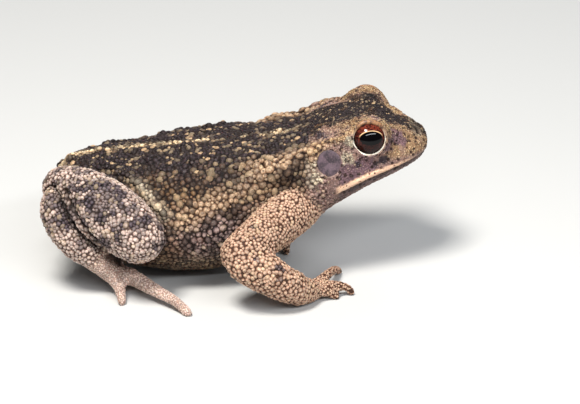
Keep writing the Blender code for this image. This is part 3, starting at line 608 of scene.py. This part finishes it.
def mark_skin(surface, fields):
    """Where each marking lies, as values from 0 to 1 that the materials read."""
    x, y, z = surface.own.T
    kinds = surface.kinds
    head, trunk, crown = fields.head, fields.trunk, fields.crown
    broad = patchy(surface.own, 9.0, 3)
    fine = patchy(surface.own, 3.2, 5)
    limbs = limit(sum(kinds[kind] for kind in kinds if kind not in ("trunk", "head", "lower_jaw")))
    hind = limit(kinds["thigh"] + kinds["shank"] + kinds["tarsus"])
    marks = {}
    upper = trunk * ramp(z, 20.5, 25) * (1 - fields.parotoid)
    dark = fields.dorsal * ramp(broad, 0.06, 0.28) + crown * ramp(fine, 0.15, 0.4)
    marks["dark"] = limit(dark + upper * (0.5 + 0.7 * fine))
    marks["dark"] *= 1 - limit(1.2 * fields.nostril_rim + fields.nostril)
    stripe = np.exp(-(((y + 0.8 - 1.6 * (broad - 0.5)) / 0.7) ** 2)) * trunk * ramp(z, 18, 20)
    marks["stripe"] = stripe * ramp(fine, 0.34, 0.48)
    marks.update(limb=limbs, hind=hind, foot=kinds["foot"])
    band = surface.line(BAND, BAND_WIDTH) * trunk
    face = head * (1 - crown)
    snout = face * ramp(x, 29, 34) * ramp(z, 25.8, 27.4)
    lids = face * ramp(z, 31.5, 33.5)
    rim = limit(1.6 * fields.ridge)
    marks["gold"] = limit(0.9 * band + 0.85 * fields.parotoid) * (1 - face)
    marks["tan"] = limit(0.9 * snout + lids + rim + fields.parotoid) * face * ramp(fine, 0.1, 0.55)
    marks["face"] = face
    # The belly's own brown tone, darkened as painted shade of the down-facing underside
    marks["belly"] = limit(fields.belly + kinds["lower_jaw"] * (1 - fields.jaw_edge))
    under = trunk * (1 - ramp(z, 15, 22)) * (1 - band)
    marks["grey"] = limit(under * ramp(x, -16, -8))
    far_side = ramp(y, 0, 4)
    rough = patchy(surface.own, 3.0, 11) + 0.22 * ramp(z, 9, 17) - 0.04
    blotches = (
        surface.spots(LEG_BLOTCHES, False) * hind,
        surface.spots(ARM_BLOTCHES) * limbs,
        surface.spots(FACE_BLOTCHES) * head,
        far_side * hind * ramp(broad, 0.52, 0.62),
        hind * (1 - far_side) * ramp(rough, 0.66, 0.78) * 0.85,
        # painted shade on the down-facing side of the lower jaw
        0.8 * fields.jaw_side,
    )
    marks["blotch_and_shade"] = limit(np.max(blotches, axis=0) * (0.55 + 0.9 * fine))
    mauve = surface.spots(MAUVE)
    marks["mauve"] = limit(mauve + 0.25 * face) * face
    marks["tan"] *= 1 - 0.9 * mauve
    whitish = surface.spots(WHITISH) * head + 0.9 * fields.fold + 0.7 * fields.nostril_rim * head
    marks["whitish"] = limit(whitish)
    # The lip's own cream colour, made paler as painted light on the down-facing lip
    marks["lip"] = fields.lip * (1 - ramp(x, 36.0, 38.5))
    # Painted shade: the mouth line, nostrils, hollows of the skin and furrows are darkened as recesses
    hollow = ramp(-surface.bulge, 0.15, 0.6) * (1 - 0.8 * head)
    marks["deep"] = limit(fields.mouth + 1.6 * fields.nostril + 0.6 * hollow + fields.furrow)
    return marks


def inside(shares, values):
    """The values at places inside triangles, from those at the three corners of each."""
    return np.einsum("ij,ijk->ik" if values.ndim == 3 else "ij,ij->i", shares, values)


def has_room(grid, key, steps, place, radius):
    """Whether no bead that stands already is too near."""
    x, y, z = place
    for step in steps:
        for near_x, near_y, near_z, near_radius in grid.get(key + step, ()):
            gap = BEAD_SPACING * (radius + near_radius)
            if (x - near_x) ** 2 + (y - near_y) ** 2 + (z - near_z) ** 2 < gap * gap:
                return False
    return True


def wart_places(surface, fields):
    """The places and radii of the beads: large ones first, then smaller ones in the room between them."""
    rng = np.random.default_rng(SEED)
    mesh = surface.obj.data
    mesh.calc_loop_triangles()
    triangles = np.empty(len(mesh.loop_triangles) * 3, np.int32)
    mesh.loop_triangles.foreach_get("vertices", triangles)
    triangles = triangles.reshape(-1, 3)
    a, b, c = (surface.points[triangles[:, i]] for i in range(3))
    area = 0.5 * np.linalg.norm(np.cross(b - a, c - a), axis=1)
    reach = np.cumsum(area)
    free = 1 - limit(fields.bare + 0.7 * fields.furrow + 0.6 * fields.crease)
    grid = {}
    near = (-1, 0, 1)
    steps = [i + GRID_ROW * (j + GRID_ROW * k) for i in near for j in near for k in near]
    chosen = []
    for low, high, density in BEAD_ROUNDS:
        count = int(density * reach[-1])
        face = np.searchsorted(reach, rng.random(count) * reach[-1])
        u = np.sqrt(rng.random(count))
        w = rng.random(count)
        shares = np.stack([1 - u, u * (1 - w), u * w], axis=1)
        corner = triangles[face]
        points = inside(shares, surface.points[corner])
        least = inside(shares, fields.least[corner])
        most = inside(shares, fields.most[corner])
        openness = inside(shares, free[corner])
        radius = least + (most - least) * (low + (high - low) * rng.random(count))
        keep = openness > rng.random(count) * OPENNESS[1] + OPENNESS[0]
        cells = np.floor(points / GRID).astype(int) + GRID_START
        keys = cells[:, 0] + GRID_ROW * (cells[:, 1] + GRID_ROW * cells[:, 2])
        for i in np.flatnonzero(keep):
            key = int(keys[i])
            if has_room(grid, key, steps, points[i], radius[i]):
                grid.setdefault(key, []).append((*points[i], radius[i]))
                chosen.append((corner[i], shares[i], radius[i]))
    corners = np.array([bead[0] for bead in chosen])
    shares = np.array([bead[1] for bead in chosen])
    radii = np.array([bead[2] for bead in chosen])
    return corners, shares, radii, rng.random((len(radii), 4))


def unwrap_of(surface):
    """An unwrap of a coarse copy of the skin: a search tree, its points, its faces and their UVs."""
    copy = new_object("unwrap", surface.obj.data.copy())
    thin = copy.modifiers.new("coarse", "DECIMATE")
    thin.ratio = UNWRAP_FACES / (2 * len(copy.data.polygons))
    apply_all(copy)
    edit_all(copy)
    bpy.ops.mesh.quads_convert_to_tris()
    bpy.ops.uv.smart_project(angle_limit=UNWRAP_ANGLE, island_margin=ISLAND_GAP)
    bpy.ops.object.mode_set(mode="OBJECT")
    mesh = copy.data
    points = coordinates(mesh)
    faces = np.array([face.vertices[:] for face in mesh.polygons])
    uvs = np.empty(len(mesh.loops) * 2, np.float32)
    mesh.uv_layers.active.uv.foreach_get("vector", uvs)
    uvs = uvs.reshape(-1, 3, 2)
    tree = BVHTree.FromPolygons([Vector(p) for p in points], faces.tolist())
    bpy.data.objects.remove(copy, do_unlink=True)
    return tree, points, faces, uvs


def root_uv(unwrap, roots):
    """For each root its place on the unwrap."""
    tree, points, faces, uvs = unwrap
    found = np.zeros((len(roots), 2))
    for i, root in enumerate(roots):
        near, _, face, _ = tree.find_nearest(root)
        a, b, c = points[faces[face]]
        across, up, to = b - a, c - a, np.array(near) - a
        aa, ab, bb = across @ across, across @ up, up @ up
        ta, tb = to @ across, to @ up
        scale = max(aa * bb - ab * ab, 1e-9)
        v = (bb * ta - ab * tb) / scale
        w = (aa * tb - ab * ta) / scale
        found[i] = (1 - v - w) * uvs[face][0] + v * uvs[face][1] + w * uvs[face][2]
    return found


def bead_shape(sides, rings):
    """A closed dome of unit radius with its root below zero: points, triangles and height of each point."""
    points = [(0.0, 0.0, rings[0][1])]
    for radius, height in rings:
        for i in range(sides):
            angle = 2 * math.pi * i / sides
            points.append((radius * math.cos(angle), radius * math.sin(angle), height))
    points.append((0.0, 0.0, rings[-1][1] + BEAD_TIP))
    faces = []
    last = len(points) - 1
    for i in range(sides):
        j = (i + 1) % sides
        faces.append((0, 1 + j, 1 + i))
        for ring in range(len(rings) - 1):
            base = 1 + ring * sides
            faces.append((base + i, base + j, base + sides + j))
            faces.append((base + i, base + sides + j, base + sides + i))
        base = 1 + (len(rings) - 1) * sides
        faces.append((base + i, base + j, last))
    points = np.array(points)
    share = limit(points[:, 2] / points[:, 2].max())
    return points, np.array(faces), share


def uneven_beads(shape):
    """The same dome in several uneven forms, as no two beads are alike."""
    points, faces, share = shape
    rng = np.random.default_rng(SEED + len(points))
    forms = []
    for _ in range(BEAD_FORMS):
        form = points * (1 + BEAD_UNEVENNESS * rng.standard_normal(points.shape))
        form[:, :2] += np.outer(limit(points[:, 2]), BEAD_LEAN * rng.standard_normal(2))
        forms.append(form)
    return np.array(forms), faces, share


# The number of sides of a fine and of a large bead, and the radius and height of each of its rings
FINE_BEAD = uneven_beads(bead_shape(6, ((1.40, -0.24), (1.06, 0.10), (0.62, 0.48))))
ROUND_BEAD = uneven_beads(bead_shape(8, ((1.46, -0.26), (1.18, 0.03), (0.88, 0.35), (0.47, 0.58))))


def joined_mesh(name, points, faces):
    mesh = bpy.data.meshes.new(name)
    mesh.vertices.add(len(points))
    mesh.vertices.foreach_set("co", (points * MM).astype(np.float32).ravel())
    mesh.loops.add(len(faces) * 3)
    mesh.loops.foreach_set("vertex_index", faces.astype(np.int32).ravel())
    mesh.polygons.add(len(faces))
    mesh.polygons.foreach_set("loop_start", np.arange(0, len(faces) * 3, 3, dtype=np.int32))
    mesh.update(calc_edges=True)
    mesh.shade_smooth()
    return mesh


def store(mesh, name, values):
    """Keeps one value or one vector for each point of a mesh, for its material."""
    kind = "FLOAT_VECTOR" if values.ndim == 2 else "FLOAT"
    attribute = mesh.attributes.new(name, kind, "POINT")
    attribute.data.foreach_set("vector" if values.ndim == 2 else "value", values.astype(np.float32).ravel())


def bead_mesh(name, shape, surface, marks, beads, chances, roots_on_unwrap):
    """Many beads as one mesh, each with its root in the skin and the markings of that place."""
    forms, faces, share = shape
    corners, shares, radii = beads
    template = forms[np.arange(len(radii)) % len(forms)]
    roots = inside(shares, surface.points[corners])
    normals = inside(shares, surface.normals[corners])
    normals /= np.linalg.norm(normals, axis=1)[:, None]
    helper = np.where(np.abs(normals[:, 2:]) > 0.9, (1.0, 0.0, 0.0), (0.0, 0.0, 1.0))
    side = np.cross(helper, normals)
    side /= np.linalg.norm(side, axis=1)[:, None]
    up = np.cross(normals, side)
    turn = chances[:, 0] * 2 * math.pi
    cos, sin = np.cos(turn)[:, None], np.sin(turn)[:, None]
    side, up = cos * side + sin * up, cos * up - sin * side
    least, extra = BEAD_WIDTHS
    wide = radii * (least + extra * chances[:, 1])
    long = radii * (least + extra * (1 - chances[:, 1]))
    high = radii * (BEAD_HEIGHTS[0] + BEAD_HEIGHTS[1] * chances[:, 2])
    points = roots[:, None, :] + (
        template[:, :, 0, None] * (side * wide[:, None])[:, None, :]
        + template[:, :, 1, None] * (up * long[:, None])[:, None, :]
        + template[:, :, 2, None] * (normals * high[:, None])[:, None, :])
    count = template.shape[1]
    points = points.reshape(-1, 3)
    points[:, 2] = np.maximum(points[:, 2], 0.0)
    all_faces = (faces[None] + (np.arange(len(radii)) * count)[:, None, None]).reshape(-1, 3)
    mesh = joined_mesh(name, points, all_faces)
    store(mesh, "root", np.repeat(roots * MM, count, axis=0))
    store(mesh, "rise", np.tile(share, len(radii)))
    store(mesh, "chance", np.repeat(chances[:, 3], count))
    for mark, values in marks.items():
        store(mesh, mark, np.repeat(inside(shares, values[corners]), count))
    uv = roots_on_unwrap[:, None, :] + template[:, :, :2] * PATCH / 2
    uv = uv.reshape(-1, 2)[all_faces.ravel()]
    layer = mesh.uv_layers.new(name="OFBake")
    layer.uv.foreach_set("vector", uv.astype(np.float32).ravel())
    return mesh


def coat_groups(surface, fields, corners):
    """The name of the piece that each bead belongs to."""
    part = surface.part[corners[:, 0]]
    names = np.array([surface.toad.flesh[i] for i in part], dtype=object)
    own = surface.own[corners[:, 0]]
    trunk = names == "trunk"
    names[trunk & (own[:, 1] < 0)] = "flank_R"
    names[trunk & (own[:, 1] >= 0)] = "flank_L"
    names[trunk & (fields.dorsal[corners[:, 0]] > 0.5)] = "back"
    names[trunk & (fields.belly[corners[:, 0]] > 0.5)] = "belly"
    return names


def add_beads(surface, fields, marks, material):
    corners, shares, radii, chances = wart_places(surface, fields)
    roots = inside(shares, surface.points[corners])
    places = root_uv(unwrap_of(surface), roots)
    groups = coat_groups(surface, fields, corners)
    for group in sorted(set(groups)):
        for size, shape in (("large", ROUND_BEAD), ("fine", FINE_BEAD)):
            chosen = (groups == group) & ((radii >= LARGE_BEAD) == (size == "large"))
            if not chosen.any():
                continue
            name = f"beads_{size}_{group}"
            beads = (corners[chosen], shares[chosen], radii[chosen])
            mesh = bead_mesh(name, shape, surface, marks, beads, chances[chosen], places[chosen])
            obj = new_object(name, mesh)
            mesh.materials.append(material)
            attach(obj, "root")


def colour(red, green, blue):
    """A colour given as on a screen, from 0 to 255, as the shader wants it."""
    shares = (red / 255, green / 255, blue / 255)
    linear = [share / 12.92 if share < 0.04 else ((share + 0.055) / 1.055) ** 2.4 for share in shares]
    return (*linear, 1.0)


class Nodes:
    """Short ways to add nodes to a tree and join them."""

    def __init__(self, tree):
        self.tree = tree

    def add(self, kind, **settings):
        node = self.tree.nodes.new(kind)
        for name, value in settings.items():
            setattr(node, name, value)
        return node

    def put(self, socket, value):
        if isinstance(value, bpy.types.NodeSocket):
            self.tree.links.new(value, socket)
        else:
            socket.default_value = value

    def math(self, operation, first, second=0.5):
        node = self.add("ShaderNodeMath", operation=operation)
        self.put(node.inputs[0], first)
        self.put(node.inputs[1], second)
        return node.outputs[0]

    def times(self, first, second):
        return self.math("MULTIPLY", first, second)

    def length(self, across, up):
        """How far a place with these two coordinates lies from the middle."""
        return self.math("SQRT", self.math("ADD", self.times(across, across), self.times(up, up)))

    def mix(self, share, first, second):
        node = self.add("ShaderNodeMix", data_type="RGBA")
        self.put(node.inputs["Factor"], share)
        self.put(node.inputs[6], first)
        self.put(node.inputs[7], second)
        return node.outputs[2]

    def blend(self, share, first, second):
        node = self.add("ShaderNodeMix", data_type="FLOAT")
        self.put(node.inputs["Factor"], share)
        self.put(node.inputs[2], first)
        self.put(node.inputs[3], second)
        return node.outputs[0]

    def ramp(self, value, low, high):
        node = self.add("ShaderNodeMapRange", interpolation_type="SMOOTHSTEP")
        self.put(node.inputs["Value"], value)
        node.inputs["From Min"].default_value = low
        node.inputs["From Max"].default_value = high
        return node.outputs["Result"]

    def value(self, name):
        return self.add("ShaderNodeAttribute", attribute_name=name).outputs["Fac"]

    def vector(self, name):
        return self.add("ShaderNodeAttribute", attribute_name=name).outputs["Vector"]

    def noise(self, vector, scale, detail=3.0, roughness=0.55):
        node = self.add("ShaderNodeTexNoise")
        self.put(node.inputs["Vector"], vector)
        node.inputs["Scale"].default_value = scale
        node.inputs["Detail"].default_value = detail
        node.inputs["Roughness"].default_value = roughness
        return node.outputs["Fac"]

    def cells(self, vector, scale, feature="F1"):
        node = self.add("ShaderNodeTexVoronoi", feature=feature)
        self.put(node.inputs["Vector"], vector)
        node.inputs["Scale"].default_value = scale
        return node.outputs["Distance"]


def new_material(name):
    """A material, with the short ways to add nodes to it, and its shader."""
    material = bpy.data.materials.new(name)
    material.use_nodes = True
    return material, Nodes(material.node_tree), material.node_tree.nodes["Principled BSDF"]


def set_values(node, values):
    for name, value in values.items():
        node.inputs[name].default_value = value


def add_relief(make, shader, height, strength, depth):
    """Fine unevenness that only the light shows, its depth in metres."""
    bump = make.add("ShaderNodeBump")
    set_values(bump, {"Strength": strength, "Distance": depth})
    make.put(bump.inputs["Height"], height)
    make.put(shader.inputs["Normal"], bump.outputs["Normal"])


def new_group(name, inputs, outputs):
    group = bpy.data.node_groups.new(name, "ShaderNodeTree")
    for label, kind, start in inputs:
        socket = group.interface.new_socket(name=label, in_out="INPUT", socket_type=kind)
        if start is not None:
            socket.default_value = start
    for label, kind in outputs:
        group.interface.new_socket(name=label, in_out="OUTPUT", socket_type=kind)
    return group


# Ground between the beads, side of a bead and top of a bead, for each kind of marking; the dark ground is
# painted shade between the beads, and the pale top is the bead's own colour with painted light
TONES = {
    "flank": ((8, 5, 4), (36, 23, 14), (120, 90, 58)),
    "grey": ((13, 9, 9), (76, 57, 57), (166, 141, 134)),
    "limb": ((74, 48, 36), (168, 127, 104), (216, 182, 156)),
    "hind": ((88, 69, 62), (172, 147, 135), (218, 196, 184)),
    "dark": ((6, 4, 6), (20, 14, 17), (50, 38, 42)),
    "gold": ((46, 31, 22), (152, 117, 88), (222, 190, 158)),
    "face": ((118, 92, 84), (138, 110, 100), (184, 154, 140)),
    "mauve": ((92, 68, 76), (110, 84, 92), (150, 120, 124)),
    "tan": ((104, 76, 52), (146, 114, 82), (208, 176, 134)),
    # belly: own brown colour darkened with painted shade
    "belly": ((26, 17, 12), (78, 58, 46), (140, 118, 94)),
    "whitish": ((104, 90, 78), (164, 150, 130), (208, 194, 170)),
    "foot": ((188, 156, 142), (212, 184, 170), (236, 212, 198)),
    "lip": ((232, 180, 146), (242, 194, 160), (248, 208, 176)),
    "blotch_and_shade": ((16, 12, 15), (44, 36, 41), (86, 74, 80)),
    "stripe": ((96, 72, 52), (216, 182, 140), (246, 222, 184)),
}
ORDER = ("grey", "belly", "limb", "hind", "foot", "face", "gold", "mauve", "tan", "whitish")
# Small spots, and the painted shade of recesses, that lie over the tones
RUST = colour(92, 60, 38)
PALE_FLECK = colour(192, 160, 124)
PORE = colour(44, 26, 24)
GRAIN = colour(40, 28, 22)
PALE_BEAD = colour(226, 198, 158)
DARK_BEAD = colour(34, 24, 20)
BROWN_TIP = colour(62, 38, 28)
LIP_DOT = colour(96, 52, 40)
RECESS_SHADE = colour(24, 16, 13)


def markings_group():
    """Colour, roughness and fine relief of the skin and its beads, from the values that both carry."""
    group = new_group(
        "toad_markings",
        (("Fleck Strength", "NodeSocketFloat", 1.0), ("Pore Strength", "NodeSocketFloat", 0.6)),
        (("Colour", "NodeSocketColor"), ("Roughness", "NodeSocketFloat"), ("Height", "NodeSocketFloat")),
    )
    make = Nodes(group)
    given = make.add("NodeGroupInput")
    root, rise, chance = make.vector("root"), make.value("rise"), make.value("chance")
    place = make.add("ShaderNodeTexCoord").outputs["Object"]
    top = make.ramp(rise, 0.30, 0.90)
    side = make.ramp(rise, 0.0, 0.30)

    # Each tone is darkest at the ground, as painted shade between the beads, and palest at a bead's top, as
    # painted light
    def tone(kind):
        shaded_ground, edge, crown = (colour(*shade) for shade in TONES[kind])
        return make.mix(top, make.mix(side, shaded_ground, edge), crown)

    found = tone("flank")
    for kind in ORDER:
        found = make.mix(make.value(kind), found, tone(kind))
    uneven = make.noise(root, 260.0)
    found = make.mix(make.times(make.ramp(uneven, 0.45, 0.75), 0.35), found, RUST)
    fleck = make.ramp(make.noise(root, 800.0, 2.0), 0.60, 0.66)
    fleck = make.times(fleck, given.outputs["Fleck Strength"])
    pale = make.times(make.times(fleck, side), 0.85)
    darkened = make.mix(pale, tone("dark"), PALE_FLECK)
    found = make.mix(make.value("dark"), found, darkened)
    # Blotches are the skin's own dark marks, and on the side of the lower jaw painted shade
    found = make.mix(make.value("blotch_and_shade"), found, tone("blotch_and_shade"))
    found = make.mix(make.value("stripe"), found, tone("stripe"))
    spotted = make.math("MAXIMUM", make.value("face"), make.value("gold"))
    pores = make.times(make.ramp(make.cells(place, 900.0), 0.40, 0.27), spotted)
    pores = make.times(pores, given.outputs["Pore Strength"])
    found = make.mix(pores, found, PORE)
    grain = make.noise(place, 2600.0, 4.0)
    found = make.mix(make.times(make.ramp(grain, 0.62, 0.35), 0.45), found, GRAIN)
    found = make.mix(make.times(make.ramp(chance, 0.80, 1.0), 0.22), found, PALE_BEAD)
    even = make.math("MAXIMUM", spotted, make.value("limb"))
    clusters = make.math("ADD", make.noise(root, 520.0, 2.0), make.times(chance, 0.16))
    darker = make.times(make.ramp(clusters, 0.60, 0.48), make.blend(even, 0.75, 0.25))
    found = make.mix(darker, found, DARK_BEAD)
    tips = make.times(make.ramp(rise, 0.86, 1.0), make.ramp(chance, 0.35, 0.5))
    found = make.mix(make.times(tips, make.times(spotted, 0.8)), found, BROWN_TIP)
    # Lip colour with painted light on its down-facing skin
    found = make.mix(make.value("lip"), found, tone("lip"))
    dots = make.times(make.ramp(make.cells(place, 1150.0), 0.34, 0.22), make.value("lip"))
    found = make.mix(dots, found, LIP_DOT)
    # Painted shade in the mouth line, nostrils, hollows and furrows
    found = make.mix(make.value("deep"), found, RECESS_SHADE)
    leaving = make.add("NodeGroupOutput")
    make.put(leaving.inputs["Colour"], found)
    dull, glossy = make.blend(grain, 0.55, 0.8), make.blend(grain, 0.32, 0.56)
    make.put(leaving.inputs["Roughness"], make.blend(top, dull, glossy))
    wrinkles = make.cells(place, 2100.0, "SMOOTH_F1")
    make.put(leaving.inputs["Height"], make.math("ADD", make.times(grain, 0.6), wrinkles))
    return group


def toad_material(name, group, flecks, pores, relief):
    material, make, shader = new_material(name)
    look = make.add("ShaderNodeGroup", node_tree=group)
    set_values(look, {"Fleck Strength": flecks, "Pore Strength": pores})
    make.put(shader.inputs["Base Color"], look.outputs["Colour"])
    make.put(shader.inputs["Roughness"], look.outputs["Roughness"])
    add_relief(make, shader, look.outputs["Height"], relief, SKIN_RELIEF)
    set_values(shader, {"Specular IOR Level": 0.22, "Subsurface Weight": 0.06, "Subsurface Scale": 0.0006})
    return material


def eye_material():
    """A dark iris with copper threads and painted reflection on its upper part, a level oval pupil with its
    gold edge, under a wet coat.
    """
    material, make, shader = new_material("wet_eye")
    at = make.vector("gaze")
    parts = make.add("ShaderNodeSeparateXYZ")
    make.put(parts.inputs[0], at)
    across, up = parts.outputs["X"], parts.outputs["Y"]
    oval = make.length(make.math("DIVIDE", across, PUPIL[0]), make.math("DIVIDE", up, PUPIL[1]))
    edge = make.length(across, up)
    threads = make.noise(at, 2.6, 6.0, 0.7)
    iris = make.mix(make.ramp(threads, 0.40, 0.64), colour(26, 10, 9), colour(98, 40, 28))
    # Painted reflection: the iris's threads turn copper toward its top
    painted_top_light = make.times(make.ramp(up, 0.7, 2.6), make.ramp(threads, 0.35, 0.75))
    iris = make.mix(painted_top_light, iris, colour(132, 60, 44))
    iris = make.mix(make.times(make.ramp(up, 0.2, -1.6), 0.75), iris, colour(20, 10, 9))
    iris = make.mix(make.ramp(edge, 2.7, 3.5), iris, colour(14, 7, 6))
    rim = make.times(make.ramp(oval, 1.15, 1.08), make.ramp(up, 0.1, 1.1))
    found = make.mix(rim, iris, colour(226, 186, 140))
    found = make.mix(make.ramp(oval, 1.06, 0.99), found, colour(4, 3, 4))
    make.put(shader.inputs["Base Color"], found)
    set_values(shader, {"Roughness": 0.4, "Specular IOR Level": 0.0})
    set_values(shader, {"Coat Weight": 1.0, "Coat Roughness": 0.02, "Coat IOR": 1.30})
    return material


def settle(obj, name, place, material):
    """Gives a new object its name, place and material, and makes it smooth."""
    obj.name = obj.data.name = name
    obj.matrix_world = place
    pick([obj])
    bpy.ops.object.transform_apply(location=True, rotation=True, scale=True)
    bpy.ops.object.shade_smooth()
    obj.data.materials.append(material)


def add_eye(side, mark, material):
    low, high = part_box("eye_" + mark)
    centre = (low + high) / 2
    bpy.ops.mesh.primitive_uv_sphere_add(segments=64, ring_count=48, radius=EYE_RADIUS * MM)
    eye = bpy.context.active_object
    settle(eye, "eyeball_" + mark, Matrix.Translation(Vector(centre)), material)
    inverse = facing(centre / MM, mirrored(GAZE, side)).inverted()
    local = np.array([inverse @ vert.co for vert in eye.data.vertices]) / MM
    store(eye.data, "gaze", local)
    around = np.linalg.norm(local[:, :2], axis=1)
    cornea = CORNEA_RISE * (1 - ramp(around, *CORNEA_EDGE)) * (local[:, 2] > 0)
    points = coordinates(eye.data) + np.outer(cornea, Vector(mirrored(GAZE, side)).normalized())
    set_coordinates(eye.data, points)
    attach(eye, "root")
    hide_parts("eye_" + mark)


def lid_material():
    material, make, shader = new_material("lid_edge")
    place = make.add("ShaderNodeTexCoord").outputs["Object"]
    speck = make.noise(place, 1400.0, 4.0)
    upper = make.ramp(make.value("upper"), -0.2, 0.7)
    pale = make.mix(make.ramp(speck, 0.4, 0.7), colour(230, 222, 206), colour(190, 170, 144))
    tan = make.mix(make.ramp(speck, 0.4, 0.65), colour(150, 108, 72), colour(70, 44, 32))
    make.put(shader.inputs["Base Color"], make.mix(upper, pale, tan))
    make.put(shader.inputs["Roughness"], make.blend(speck, 0.3, 0.55))
    add_relief(make, shader, speck, 0.4, FINE_RELIEF)
    return material


def add_lid(toad, side, mark, material):
    """The rolled edge of both lids around the eye's opening."""
    axis = Vector(mirrored(EYE_AXIS, side)).normalized()
    centre = toad.place(mirrored(EYE_CENTRE, side)) + axis * LID_STANDS_AT
    radii = {"major_radius": LID_RADIUS * MM, "minor_radius": LID_THICKNESS * MM}
    bpy.ops.mesh.primitive_torus_add(major_segments=72, minor_segments=14, **radii)
    lid = bpy.context.active_object
    local = coordinates(lid.data)
    angle = np.arctan2(local[:, 1], local[:, 0])
    upper = np.sin(angle)
    out = np.stack([np.cos(angle), np.sin(angle), np.zeros(len(angle))], axis=1)
    thick = 1.0 + UPPER_LID_THICKER * limit(upper)
    core = out * LID_RADIUS
    local = core + (local - core) * thick[:, None]
    local[:, 2] += UPPER_LID_BENT * limit(upper) ** 2
    set_coordinates(lid.data, local)
    store(lid.data, "upper", upper)
    settle(lid, "lid_edge_" + mark, facing(centre, axis), material)
    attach(lid, "root")


def eardrum_material():
    material, make, shader = new_material("eardrum_skin")
    at = make.vector("drum")
    out = make.add("ShaderNodeVectorMath", operation="LENGTH")
    make.put(out.inputs[0], at)
    mottle = make.noise(at, 1.6, 5.0, 0.6)
    fine = make.noise(at, 9.0, 4.0)
    base = make.mix(make.ramp(mottle, 0.42, 0.60), colour(46, 35, 42), colour(86, 68, 77))
    base = make.mix(make.times(make.ramp(fine, 0.5, 0.66), 0.5), base, colour(112, 92, 94))
    base = make.mix(make.ramp(out.outputs["Value"], 0.72, 1.0), base, colour(98, 78, 74))
    make.put(shader.inputs["Base Color"], base)
    make.put(shader.inputs["Roughness"], make.blend(fine, 0.4, 0.6))
    add_relief(make, shader, fine, 0.5, FINE_RELIEF)
    return material


def add_eardrum(toad, side, mark, material):
    """A thin drum that is a little hollow in its middle, in the place of the solid one."""
    points = coordinates(toad.nodes["tympanum_" + mark].data)
    centre = points.mean(axis=0)
    _, axes = np.linalg.eigh(np.cov((points - centre).T))
    normal = axes[:, 0]
    if normal[1] * side > 0:
        normal = -normal
    reach = np.abs((points - centre) @ np.array(facing((0, 0, 0), normal).to_3x3())).max(axis=0)
    bpy.ops.mesh.primitive_uv_sphere_add(segments=48, ring_count=40, radius=1.0)
    drum = bpy.context.active_object
    local = coordinates(drum.data) * MM
    away = np.linalg.norm(local[:, :2], axis=1)
    store(drum.data, "drum", local * np.array((1, 1, 0)))
    hollow = DRUM_HOLLOW * np.exp(-((away / DRUM_HOLLOW_WIDTH) ** 2)) * (local[:, 2] > 0)
    local[:, 2] = local[:, 2] * DRUM_RISE - hollow
    local = local * np.array((reach[0] * DRUM_REACH, reach[1] * DRUM_REACH, reach[2]))
    set_coordinates(drum.data, local)
    settle(drum, "eardrum_" + mark, facing(centre, normal), material)
    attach(drum, "root")
    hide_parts("tympanum_" + mark)


def add_floor():
    bpy.ops.mesh.primitive_plane_add(size=FLOOR_SIZE, location=(0, 0, 0))
    floor = bpy.context.active_object
    floor.name = "floor"
    material, _, shader = new_material("pale_floor")
    set_values(shader, {"Base Color": FLOOR_COLOUR, "Roughness": 0.9})
    floor.data.materials.append(material)


def add_light(name, place, size, power, tint, mirrored_in_gloss):
    data = bpy.data.lights.new(name, "AREA")
    data.shape = "RECTANGLE"
    data.size = size[0]
    data.size_y = size[1]
    data.energy = power
    data.color = tint
    light = new_object(name, data)
    light.visible_glossy = mirrored_in_gloss
    light.location = place
    light.rotation_euler = (Vector(LIGHTS_AIM) - Vector(place)).to_track_quat("-Z", "Y").to_euler()


def add_lights():
    world = bpy.data.worlds.new("studio")
    bpy.context.scene.world = world
    world.use_nodes = True
    set_values(world.node_tree.nodes["Background"], {"Color": WORLD_COLOUR, "Strength": WORLD_STRENGTH})
    bpy.context.scene.view_settings.view_transform = "Standard"
    for name, settings in LIGHTS.items():
        add_light(name, *settings)


def add_camera(toad):
    data = bpy.data.cameras.new("camera")
    data.sensor_width = SENSOR
    data.lens = SENSOR * CAMERA_DISTANCE * PIXELS_PER_MM / PHOTO_SIZE[0]
    data.clip_start = 0.01
    camera = new_object("camera", data)
    camera.location = camera_place(toad) * MM
    camera.rotation_euler = (math.pi / 2 - CAMERA_PITCH, 0, 0)
    bpy.context.scene.camera = camera


def dress_skin(toad, group):
    """The skin with its markings, and all its beads."""
    skin = make_skin(toad)
    surface = Surface(toad, skin)
    fields = shape_skin(surface)
    marks = mark_skin(surface, fields)
    for mark, values in marks.items():
        store(skin.data, mark, values)
    store(skin.data, "root", surface.points * MM)
    # Skin under the beads gets rise 0, the painted shade of the ground between beads
    store(skin.data, "rise", BARE_RISE * fields.bare)
    store(skin.data, "chance", np.full(len(surface.points), 0.5))
    skin.data.materials.append(toad_material("toad_skin", group, flecks=0.5, pores=0.95, relief=1.0))
    pick([skin])
    bpy.ops.object.shade_smooth()
    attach(skin, "root")
    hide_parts(*toad.flesh)
    on_beads = toad_material("toad_beads", group, flecks=1.0, pores=0.8, relief=0.6)
    add_beads(surface, fields, marks, on_beads)


def main():
    for obj in list(bpy.data.objects):
        if obj.type in ("LIGHT", "CAMERA") or obj.name == "Cube":
            bpy.data.objects.remove(obj, do_unlink=True)
    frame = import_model()
    toad = Toad(frame)
    add_camera(toad)
    dress_skin(toad, markings_group())
    wet_eye, lid_edge, eardrum_skin = eye_material(), lid_material(), eardrum_material()
    for side, mark in ((1, "R"), (-1, "L")):
        add_eye(side, mark, wet_eye)
        add_lid(toad, side, mark, lid_edge)
        add_eardrum(toad, side, mark, eardrum_skin)
    add_floor()
    add_lights()


main()
